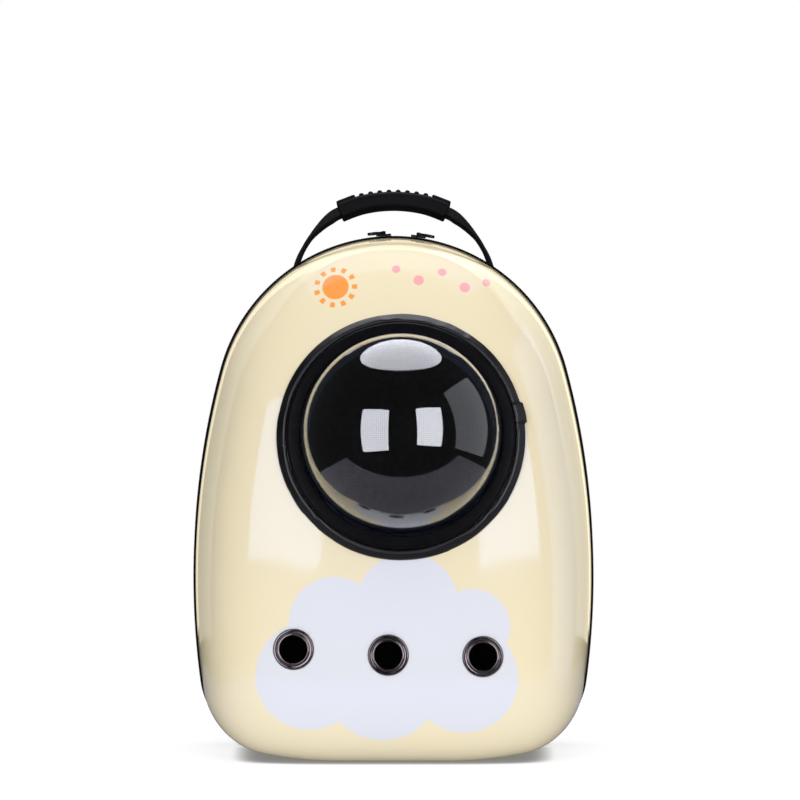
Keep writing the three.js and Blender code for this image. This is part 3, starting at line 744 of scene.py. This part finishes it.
def build_tape():
    """A cloth band that runs in behind the rims of the shell and the back panel."""
    front_inset = SHELL_EDGES["top"]["draft"] * TAPE_TUCK * 1.2
    rows = []
    for y, grow in (
        (SHELL_RIM_Y - TAPE_TUCK, -TAPE_INSET - front_inset),
        (SHELL_RIM_Y, -TAPE_INSET),
        (ZIP_Y, -TAPE_INSET),
        (BACK_RIM_Y + TAPE_TUCK, -TAPE_INSET),
    ):
        ring = outline(grow, SHELL_SPACING)
        rows.append(np.column_stack([ring[:, 0], np.full(len(ring), y), ring[:, 1]]))
    tape = grid_mesh("zip_tape_cloth", rows, MATERIALS["tape"])
    thicken(tape, TAPE_WALL)
    place(tape, "panel_fabric", "zip_tape")


def build_coil():
    """Two rows of coil loops that step past each other along the zip, slacker towards its lower ends."""
    half = half_outline(0, 0.5)
    half = half[half[:, 2] <= COIL_END_TURN]
    line = np.vstack([half[:0:-1] * (-1, 1, -1), half])
    angles = np.radians(line[:, 2])
    run = np.concatenate([[0], np.hypot(*np.diff(line[:, :2], axis=0).T).cumsum()])
    loops = 0.5 + 0.5 * np.cos(run / COIL_PITCH * math.tau)
    slack = COIL_SLACK * np.clip((np.abs(line[:, 2]) - COIL_SLACK_FROM_TURN) / COIL_SLACK_TURN, 0, 1)
    valley = COIL_PROUD - COIL_LOOP_RISE + slack
    front = valley + COIL_LOOP_RISE * loops
    rear = valley + COIL_LOOP_RISE * (1 - loops)
    foot = np.full(len(run), COIL_FOOT)
    section = [
        (-1.0, foot),
        (-1.0, valley - 0.6),
        (-0.85, (valley + front) / 2),
        (-0.5, front),
        (-0.15, valley),
        (0.15, valley),
        (0.5, rear),
        (0.85, (valley + rear) / 2),
        (1.0, valley - 0.6),
        (1.0, foot),
    ]
    columns = []
    for side, grow in section:
        x = line[:, 0] + np.sin(angles) * grow
        y = np.full(len(run), ZIP_Y + side * COIL_HALF_WIDTH)
        z = line[:, 1] + np.cos(angles) * grow
        columns.append(np.column_stack([x, y, z]))
    rows = np.array(columns).transpose(1, 0, 2)
    coil = grid_mesh("zip_coil_loops", rows, MATERIALS["coil"], caps=True)
    place(coil, "black_plastic", "zip_coil")


def dress_node(node, material, edge):
    """Gives a solid of the frame its material and soft edges."""
    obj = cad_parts[node]
    obj.data.materials.clear()
    obj.data.materials.append(MATERIALS[material])
    soften(obj, edge)


def dress_sliders():
    for side in ("left", "right"):
        for part in ("slider", "pull"):
            dress_node(f"zip_{part}_{side}", "zip_metal", 0.3)


# Window and vents


def rounded_corner(profile, sharp=()):
    """A closed profile with each corner cut into a short round, apart from the sharp ones."""
    points = [np.array(p, float) for p in profile]
    out = []
    for i, p in enumerate(points):
        before, after = points[i - 1], points[(i + 1) % len(points)]
        if i in sharp:
            out.append(p)
            continue
        reach = min(0.5, 0.35 * np.linalg.norm(before - p), 0.35 * np.linalg.norm(after - p))
        a = p + (before - p) / np.linalg.norm(before - p) * reach
        b = p + (after - p) / np.linalg.norm(after - p) * reach
        for t in (0, 0.33, 0.67, 1):
            out.append((1 - t) ** 2 * a + 2 * t * (1 - t) * p + t**2 * b)
    return out


def build_ring():
    """The plastic ring that clamps the dome's flange."""
    recess = 0.6 + DOME_WALL
    profile = [
        (RING_OUTER_RADIUS, -9),
        (RING_OUTER_RADIUS, TRIM_HEIGHT + 0.8),
        (RING_OUTER_RADIUS - 0.7, RING_HEIGHT - 2),
        (RING_OUTER_RADIUS - 1.8, RING_HEIGHT - 0.9),
        (RING_INNER_RADIUS + 1.2, RING_HEIGHT - 0.2),
        (RING_INNER_RADIUS, RING_HEIGHT - 1),
        (RING_INNER_RADIUS, recess),
        (DOME_FLANGE_RADIUS + 0.3, recess),
        (DOME_FLANGE_RADIUS + 0.3, -9),
    ]
    ring = WINDOW.turned("window_ring_plastic", rounded_corner(profile), 240, MATERIALS["ring"])
    place(ring, "black_plastic", "window_ring")


def build_dome():
    """A thin clear cup: a half sphere on a short neck, with a flange."""
    inner = DOME_RADIUS - DOME_WALL
    angles = np.radians(np.linspace(0, 90, 40))
    outside = [(DOME_RADIUS * math.cos(a), DOME_NECK + DOME_RADIUS * math.sin(a)) for a in angles]
    inside = [(inner * math.cos(a), DOME_NECK + inner * math.sin(a)) for a in angles[::-1]]
    flange = [(inner, 0.3), (DOME_FLANGE_RADIUS, 0.3), (DOME_FLANGE_RADIUS, 2.3), (DOME_RADIUS, 2.3)]
    profile = inside + flange + outside
    dome = WINDOW.turned("window_dome_acrylic", profile, 160, MATERIALS["dome"], close_rows=False)
    weld(dome)
    place(dome, "window", "window_dome")


def build_trim():
    """A soft lip, flat by the ring and folded down to the shell in creased facets; its ends overlap."""
    random = np.random.default_rng(7)
    sides = 540
    angles = np.arange(sides) / sides * math.tau

    def creases(count, size):
        knots = np.sort(random.uniform(0, math.tau, count))
        return np.interp(angles, knots, random.uniform(-size, size, count), period=math.tau)

    inner, outer = RING_OUTER_RADIUS + 0.3, TRIM_OUTER_RADIUS
    tab_half = math.degrees(TAB_LENGTH / 2 / outer)
    away = np.abs((np.degrees(angles) - TAB_ANGLE + 180) % 360 - 180)
    tab = np.clip((tab_half - away) / 0.8 + 0.5, 0, 1)
    shell = np.array([WINDOW.surface(outer, a) for a in angles])
    fold = inner + TRIM_FOLD + creases(44, 0.8)
    fold_height = TRIM_HEIGHT - 0.3 + creases(36, 0.15)
    foot = outer + creases(46, 0.25) + tab * TAB_PROUD
    brink = fold_height - (outer - fold) * math.tan(math.radians(TRIM_SLOPE)) + creases(50, 0.25)
    dent = creases(40, 0.3)
    rows = [
        (np.full(sides, inner), shell - 1.5),
        (np.full(sides, inner), np.full(sides, TRIM_HEIGHT - 0.7)),
        (np.full(sides, inner + 0.4), np.full(sides, TRIM_HEIGHT)),
        (fold - 0.4, fold_height + 0.05),
        (fold + 0.1, fold_height - 0.1),
    ]
    for share, push in ((0.12, 0), (0.5, dent), (0.86, 0)):
        radii = fold + (foot - fold) * share + push
        heights = fold_height + (brink - fold_height) * share + push
        rows.append((radii, heights))
    rows += [(foot - 0.15, brink - 0.1), (foot, brink - 0.7), (foot, shell + 0.2), (foot, shell - 1.5)]
    points = []
    for radii, heights in rows:
        lifted = heights + TAB_LIFT * tab
        points.append([WINDOW.point(r, h, a) for r, h, a in zip(radii, lifted, angles)])
    trim = grid_mesh("window_trim_vinyl", points, MATERIALS["trim"], close_rows=True, flip=True)
    place(trim, "rubber", "window_trim")


def build_grommets():
    """Turned metal eyelets with a rolled bead round each bore."""
    bore, flange = GROMMET_BORE_RADIUS, GROMMET_FLANGE_RADIUS
    profile = [
        (bore, -GROMMET_DEPTH),
        (flange - 1, -GROMMET_DEPTH),
        (flange - 1, -GROMMET_DEPTH + 1.2),
        (bore + 1.2, -GROMMET_DEPTH + 1.2),
        (bore + 1.2, -0.6),
        (flange, -0.6),
        (flange, 0.9),
        (flange - 0.8, 1.9),
        (flange - 2.2, 1.9),
        (bore + 2.2, 1.7),
        (bore + 1.7, 2.8),
        (bore + 0.6, 3),
        (bore, 2.2),
    ]
    for name, seat in VENTS.items():
        grommet = seat.turned(f"vent_{name}_eyelet", rounded_corner(profile), 96, MATERIALS["gunmetal"])
        place(grommet, "gunmetal", f"vent_grommet_{name}")


# Back panel, handle and straps


def panel_section(ring, inset, y):
    """A ring of the body's outline drawn in by an inset, at one depth."""
    rise = ring[:, 1] / BODY_HEIGHT
    x = ring[:, 0] * (HALF_WIDTH - inset) / HALF_WIDTH
    z = inset + rise * (BODY_HEIGHT - 2 * inset)
    return np.column_stack([x, np.full(len(ring), y), z])


def build_back_panel():
    """A padded tray with a groove for a sewn line round its rear face."""
    ring = outline(0, SHELL_SPACING)

    def section(inset, y):
        return panel_section(ring, inset, y)

    innermost = HALF_WIDTH - BACK_MIDDLE_INSET
    floor_y = BACK_FACE_Y - BACK_PADDING
    rows = [section(inset, floor_y) for inset in (innermost, HALF_WIDTH / 2, BACK_ROUNDING)]
    for a in np.radians(np.linspace(90, 0, 8)):
        inset = BACK_WALL + (BACK_ROUNDING - BACK_WALL) * (1 - math.cos(a))
        rows.append(section(inset, floor_y - (BACK_ROUNDING - BACK_WALL) * (1 - math.sin(a))))
    rows += [section(BACK_WALL, BACK_RIM_Y), section(0.4, BACK_RIM_Y), section(0, BACK_RIM_Y + 0.5)]
    rows.append(section(0, BACK_RIM_Y + 10))
    for a in np.radians(np.linspace(0, 90, 14)):
        inset = BACK_ROUNDING * (1 - math.cos(a))
        rows.append(section(inset, BACK_FACE_Y - BACK_ROUNDING * (1 - math.sin(a))))
    for inset in np.linspace(BACK_ROUNDING, innermost, 60)[1:]:
        groove = SEAM_DEPTH * math.exp(-(((inset - SEAM_INSET) / SEAM_WIDTH) ** 2))
        rows.append(section(inset, BACK_FACE_Y - groove))
    panel = grid_mesh("back_panel_cloth", rows, MATERIALS["panel"], caps=True)
    place(panel, "panel_fabric", "back_panel")


def build_stitches():
    """A thread that rises and dips along the back panel's groove."""
    ring = outline(0, STITCH_PITCH / 6)
    line = panel_section(ring, SEAM_INSET, BACK_FACE_Y - STITCH_DEPTH)
    run = np.concatenate([[0], np.linalg.norm(np.diff(line, axis=0), axis=1).cumsum()])
    line[:, 1] += STITCH_RISE * np.cos(run / STITCH_PITCH * math.tau)
    tangents = np.gradient(line * (1, 0, 1), axis=0)
    tangents /= np.linalg.norm(tangents, axis=1)[:, None]
    thread = band(
        "back_panel_stitches", line, tangents, run[-1], DEPTHWISE, rounded_section(8, 2),
        THREAD_WIDTH, THREAD_WIDTH, MATERIALS["thread"],
    )
    place(thread, "panel_fabric")


HANDLE_HALF = [(x, HANDLE_Y, z) for x, z, _ in HANDLE_ARCH]
HANDLE_POINTS = [(-x, y, z) for x, y, z in HANDLE_HALF[:0:-1]] + HANDLE_HALF
HANDLE_PATH, HANDLE_TANGENTS, HANDLE_LENGTH = smooth_path(HANDLE_POINTS, 160)
HANDLE_ALONG = np.linspace(-HANDLE_LENGTH / 2, HANDLE_LENGTH / 2, len(HANDLE_PATH))


def on_handle(along, values):
    """Values of the handle's path at distances along it from its middle."""
    return np.column_stack([np.interp(along, HANDLE_ALONG, values[:, k]) for k in range(3)])


def grip_thickness(along):
    """How thick the grip is at a distance from its middle."""
    middle, end = GRIP_THICKNESSES["middle"], GRIP_THICKNESSES["end"]
    return middle + (end - middle) * (along / GRIP_HALF_LENGTH) ** 2


def build_strap():
    """The handle's webbing, doubled by the grip and where it is sewn in."""
    x, _, thickness = np.array(HANDLE_ARCH).T
    strap = band(
        "handle_webbing", HANDLE_PATH, HANDLE_TANGENTS, HANDLE_LENGTH, DEPTHWISE, rounded_section(28, 6),
        HANDLE_WIDTH, np.interp(np.abs(HANDLE_PATH[:, 0]), x, thickness), MATERIALS["webbing"],
    )
    place(strap, "webbing", "handle_strap")


def cross_bar(name, along, length, width, height, lift, power):
    """A rounded bar across the grip's top, at a distance along the handle."""
    along = np.array([along])
    tangent = on_handle(along, HANDLE_TANGENTS)[0]
    up = np.cross(tangent, DEPTHWISE)
    centre = on_handle(along, HANDLE_PATH)[0] + up * (grip_thickness(along[0]) / 2 + lift - height / 2)
    run = np.linspace(-0.5, 0.5, 33) * length
    reach = np.clip((length / 2 - np.abs(run)) / (height / 2), 0.0, 1.0)
    fade = np.clip(np.sqrt(1 - (1 - reach) ** 2), 0.3, 1)
    slim = np.clip(1 - height / width * (1 - fade), 0.2, 1)
    path = centre + np.outer(run, DEPTHWISE)
    tangents = np.tile(DEPTHWISE, (len(run), 1))
    return band(
        name, path, tangents, length, tangent, rounded_section(24, power),
        width * slim, height * fade, MATERIALS["grip"],
    )


def build_grip():
    """A moulded sleeve with ribs across its top between two raised end plates."""
    reach = np.linspace(-GRIP_HALF_LENGTH, GRIP_HALF_LENGTH, 121)
    near_end = np.clip((GRIP_HALF_LENGTH - np.abs(reach)) / 1.2, 0, 1)
    trim = 1 - 0.1 * (1 - np.sqrt(1 - (1 - near_end) ** 2))
    path = on_handle(reach, HANDLE_PATH)
    tangents = on_handle(reach, HANDLE_TANGENTS)
    sleeve = band(
        "grip_sleeve", path, tangents, 2 * GRIP_HALF_LENGTH, DEPTHWISE, rounded_section(48, 4),
        GRIP_WIDTH * trim, grip_thickness(reach) * trim, MATERIALS["grip"],
    )
    pieces = [sleeve]
    rib = {"width": 2 * RIB_RADIUS, "height": 2 * RIB_RADIUS, "lift": RIB_RADIUS - RIB_SINK, "power": 2.2}
    for i in range(RIB_COUNT):
        along = (i - (RIB_COUNT - 1) / 2) * RIB_SPACING
        pieces.append(cross_bar(f"rib_{i}", along, RIB_LENGTH, **rib))
    for end in (-1, 1):
        along = end * (GRIP_HALF_LENGTH - END_PLATE["width"] / 2)
        pieces.append(cross_bar(f"plate_{end}", along, RIB_LENGTH, **END_PLATE))
    place(join("grip_rubber", pieces), "rubber", "handle_grip")


def strap_points(path, side):
    """A strap's given points on one side of the back."""
    return [(side * x, BACK_FACE_Y + out, z) for x, out, z in path]


def pad_widths(share):
    """The pad's width at shares of its length."""
    top, middle, bottom = PAD_WIDTHS["top"], PAD_WIDTHS["middle"], PAD_WIDTHS["bottom"]
    return np.interp(share, [0, 0.5, 1], [top, middle, bottom])


def swell(obj):
    """Blows a closed pad up as cloth under air pressure, with a limit on how far each point moves."""
    remesh = obj.modifiers.new("voxels", "REMESH")
    remesh.mode = "VOXEL"
    remesh.voxel_size = SWELL_VOXEL * MM
    remesh.use_smooth_shade = True
    with bpy.context.temp_override(object=obj):
        bpy.ops.object.modifier_apply(modifier=remesh.name)
    start = np.array([v.co for v in obj.data.vertices])
    cloth = obj.modifiers.new("air", "CLOTH")
    cloth.settings.quality = 6
    cloth.settings.use_pressure = True
    cloth.settings.uniform_pressure_force = 4
    cloth.settings.effector_weights.gravity = 0
    cloth.point_cache.frame_start = 1
    cloth.point_cache.frame_end = SWELL_FRAMES
    for step in range(1, SWELL_FRAMES + 1):
        bpy.context.scene.frame_set(step)
    swollen = obj.evaluated_get(bpy.context.evaluated_depsgraph_get()).data
    move = np.array([v.co for v in swollen.vertices]) - start
    obj.modifiers.remove(cloth)
    bpy.context.scene.frame_set(1)
    far = np.linalg.norm(move, axis=1)[:, None] / (SWELL_LIMIT * MM)
    for vertex, co in zip(obj.data.vertices, start + move / np.maximum(far, 1)):
        vertex.co = co


def sew_pad(obj, path, widths):
    """Presses a sewn channel into both faces of a pad, beside its edges."""
    middles = path * MM
    for vertex in obj.data.vertices:
        nearest = np.linalg.norm(middles - vertex.co, axis=1).argmin()
        offset = np.array(vertex.co) - middles[nearest]
        sideways = offset @ SIDEWAYS
        channel = math.exp(-(((abs(sideways) / MM - widths[nearest] / 2 + PAD_SEAM) / PAD_SEAM_WIDTH) ** 2))
        vertex.co -= Vector((offset - SIDEWAYS * sideways) * PAD_SEAM_DEPTH * channel)
    rounder = obj.modifiers.new("rounder", "SUBSURF")
    rounder.levels = rounder.render_levels = 1


def build_pad(name, side):
    """A padded shoulder strap, widest in its middle."""
    path, tangents, length = smooth_path(strap_points(PAD_PATH, side), 110)
    share = np.linspace(0, 1, len(path))
    end, middle = PAD_THICKNESSES["end"], PAD_THICKNESSES["middle"]
    thickness = end + (middle - end) * np.sin(math.pi * share)
    ends = np.clip(np.minimum(share, 1 - share) / 0.03, 0, 1)
    fade = 0.55 + 0.45 * np.sqrt(1 - (1 - ends) ** 2)
    widths = pad_widths(share) * (0.93 + 0.07 * fade)
    pad = band(
        f"shoulder_pad_mesh_{name}", path, tangents, length, SIDEWAYS, rounded_section(36, 3),
        widths - 2, thickness * fade * 0.8, MATERIALS["pad"],
    )
    swell(pad)
    sew_pad(pad, path, widths)
    place(pad, "padding", f"shoulder_pad_{name}")


def build_webbing(name, side):
    """The webbing from the pad's end to the foot of the back, and its adjuster."""
    path, tangents, length = smooth_path(strap_points(WEBBING_PATH, side), 90)
    webbing = band(
        f"strap_webbing_{name}_nylon", path, tangents, length, SIDEWAYS, rounded_section(20, 6),
        WEBBING_WIDTH, WEBBING_THICKNESS, MATERIALS["webbing"],
    )
    place(webbing, "webbing", f"strap_webbing_{name}")
    dress_node(f"strap_adjuster_{name}", "buckle", 0.7)


shell_piece = build_shell()
build_lining()
build_tape()
build_coil()
dress_sliders()
build_ring()
build_dome()
build_trim()
build_grommets()
build_back_panel()
build_stitches()
build_strap()
build_grip()
for strap_name, strap_side in (("left", -1), ("right", 1)):
    build_pad(strap_name, strap_side)
    build_webbing(strap_name, strap_side)


# Floor, light and camera

CAMERA_PLACE = Vector((0, -1.941, 0.18))
CAMERA_TARGET = Vector((0.0052, 0.059, 0.2773))
FOCAL_LENGTH = 111.9
FLOOR = {"left": -520, "right": 620, "front": -330, "back": 700}
FLOOR_GLOW = 0.49
# The floor's glow near things, from ambient occlusion: a painted contact shadow.
CONTACT_REACH = 14
CONTACT_GLOW = -0.36
OPEN_GLOW = 0.31
WORLD_GLOW = 0.03
LAMP_COLOUR = (0.91, 0.92, 1.0)
RIM_COLOUR = (1.0, 0.86, 0.58)
MIDDLE = (0, 0, 0.22)

# Soft boxes: where each stands and looks, its width and height in metres, and its power in watts.
# Some light everything but the glossy shell, and some light the shell alone.
LAMPS = {
    "key_left": ((-1.05, -1.9, 0.28), MIDDLE, 1.18, 1.75, 30),
    "key_right": ((1.1, -1.82, 0.42), MIDDLE, 1.08, 1.53, 26.5),
    "overhead": ((0, 0.26, 1.75), (0, 0.1, 0.22), 1.66, 1.76, 21.5),
    "shell_left": ((-0.9, -1.98, 0.78), MIDDLE, 1.55, 0.76, 4),
    "shell_right": ((0.95, -1.9, 0.79), MIDDLE, 1.45, 0.78, 4.2),
    "shell_top": ((0, 0.72, 1.7), (0, 0.62, 0.22), 1.7, 1.64, 3),
    "shell_sky": ((0, 0.6, 1.6), (0, 0.5, 0.22), 1.7, 1.4, 34),
    "shell_fill": ((0, -2.2, 0.5), MIDDLE, 2.4, 1.2, 62),
    "rim_left": ((-1, 1.1, 0.8), MIDDLE, 1.6, 1.8, 4.9),
    "rim_right": ((1, 1.1, 0.8), MIDDLE, 1.6, 1.8, 9.5),
    "rim_back": ((0, 1.4, 0.85), (0, 0, 0.6), 1.3, 1.7, 5.5),
    "wall_right": ((1.6, -0.1, 0.6), MIDDLE, 1.6, 1.8, 4.5),
    "wall_left": ((-1.5, 0.4, 0.8), MIDDLE, 1.6, 1.8, 5),
    "backdrop": ((0, 1.3, 0.95), (0, 0, 0.45), 1.3, 0.75, 2.6),
    "fill": ((0, -1.5, 1.5), (0, -0.25, 0), 1.6, 1.2, 10),
}
ROUND_LAMPS = ("overhead",)
RIM_LAMPS = ("rim_left", "rim_right", "rim_back")
OFF_SHELL_LAMPS = ("key_left", "key_right", "overhead", "backdrop")
SHELL_LAMPS = ("shell_left", "shell_right", "shell_top", "shell_sky", "shell_fill", *RIM_LAMPS)
UNREFLECTED_LAMPS = ("fill", "wall_left", "shell_fill", "shell_sky")


def build_floor():
    """A pale glowing sheet whose glow drops where something stands close, a painted contact shadow, and
    that glossy surfaces see as dull.
    """
    front = [(FLOOR["left"], FLOOR["front"], 0), (FLOOR["right"], FLOOR["front"], 0)]
    back = [(FLOOR["left"], FLOOR["back"], 0), (FLOOR["right"], FLOOR["back"], 0)]
    s = Shader("pale_floor", Roughness=0.7, Specular_IOR_Level=0.0)
    s.colour(s.mixed(s.noise(3.0, 2.0), (0.29, 0.29, 0.295, 1), (0.31, 0.31, 0.315, 1)))
    path = s.node("LightPath", {}).node
    # Painted contact shadow: less glow where ambient occlusion finds something close.
    nearness = s.node("AmbientOcclusion", {"Distance": CONTACT_REACH * MM}, output="AO")
    lift = s.ranged(nearness, 0.2, 0.95, CONTACT_GLOW, OPEN_GLOW)
    seen = s.math("MULTIPLY", lift, path.outputs["Is Camera Ray"])
    lifted = s.node("Emission", {"Color": (1, 1, 1, 1), "Strength": s.math("ADD", FLOOR_GLOW, seen)})
    bright = s.node("AddShader", {0: s.bsdf.outputs[0], 1: lifted})
    dull = s.node("BsdfDiffuse", {"Color": (0.28, 0.272, 0.3, 1)})
    shown = s.node("MixShader", {0: path.outputs["Is Glossy Ray"], 1: bright, 2: dull})
    s.tree.links.new(shown, s.tree.nodes["Material Output"].inputs["Surface"])
    floor = grid_mesh("floor", [front, back], s.material, close_columns=False)


def softbox(name, place_at, target, width, height, power):
    """A flat rectangular or elliptic lamp."""
    lamp = bpy.data.lights.new(name, "AREA")
    lamp.shape = "ELLIPSE" if name in ROUND_LAMPS else "RECTANGLE"
    lamp.size = width
    lamp.size_y = height
    lamp.energy = power
    lamp.color = RIM_COLOUR if name in RIM_LAMPS else LAMP_COLOUR
    obj = bpy.data.objects.new(name, lamp)
    bpy.context.scene.collection.objects.link(obj)
    obj.location = place_at
    obj.rotation_euler = (Vector(target) - Vector(place_at)).to_track_quat("-Z", "Y").to_euler()
    obj.visible_glossy = name not in UNREFLECTED_LAMPS
    obj.visible_transmission = name not in UNREFLECTED_LAMPS
    return obj


def link_light(lamp, obj, state):
    """Keeps a lamp's light on one piece, or off it."""
    group = bpy.data.collections.new(f"{lamp.name}_link")
    group.objects.link(obj)
    group.collection_objects[0].light_linking.link_state = state
    lamp.light_linking.receiver_collection = group


def build_world():
    """A white background for the camera, and a dim one for everything else."""
    world = bpy.data.worlds.new("studio")
    bpy.context.scene.world = world
    world.use_nodes = True
    tree = world.node_tree
    tree.nodes.clear()
    seen = tree.nodes.new("ShaderNodeLightPath")
    white = tree.nodes.new("ShaderNodeBackground")
    white.inputs["Color"].default_value = (1, 1, 1, 1)
    white.inputs["Strength"].default_value = 1.0
    dim = tree.nodes.new("ShaderNodeBackground")
    dim.inputs["Color"].default_value = (0.9, 0.93, 1, 1)
    dim.inputs["Strength"].default_value = WORLD_GLOW
    choose = tree.nodes.new("ShaderNodeMixShader")
    output = tree.nodes.new("ShaderNodeOutputWorld")
    tree.links.new(seen.outputs["Is Camera Ray"], choose.inputs[0])
    tree.links.new(dim.outputs[0], choose.inputs[1])
    tree.links.new(white.outputs[0], choose.inputs[2])
    tree.links.new(choose.outputs[0], output.inputs[0])


def build_light(shell):
    """All the soft boxes, linked to the shell or kept off it."""
    bpy.context.scene.view_settings.view_transform = "Standard"
    for name, settings in LAMPS.items():
        lamp = softbox(name, *settings)
        if name in OFF_SHELL_LAMPS:
            link_light(lamp, shell, "EXCLUDE")
        if name in SHELL_LAMPS:
            link_light(lamp, shell, "INCLUDE")


def build_camera():
    """A long lens, straight in front of the window."""
    camera = bpy.data.cameras.new("camera")
    camera.lens = FOCAL_LENGTH
    camera.sensor_width = 36
    obj = bpy.data.objects.new("camera", camera)
    bpy.context.scene.collection.objects.link(obj)
    obj.location = CAMERA_PLACE
    obj.rotation_euler = (CAMERA_TARGET - CAMERA_PLACE).to_track_quat("-Z", "Y").to_euler()
    bpy.context.scene.camera = obj


build_floor()
build_world()
build_light(shell_piece)
build_camera()
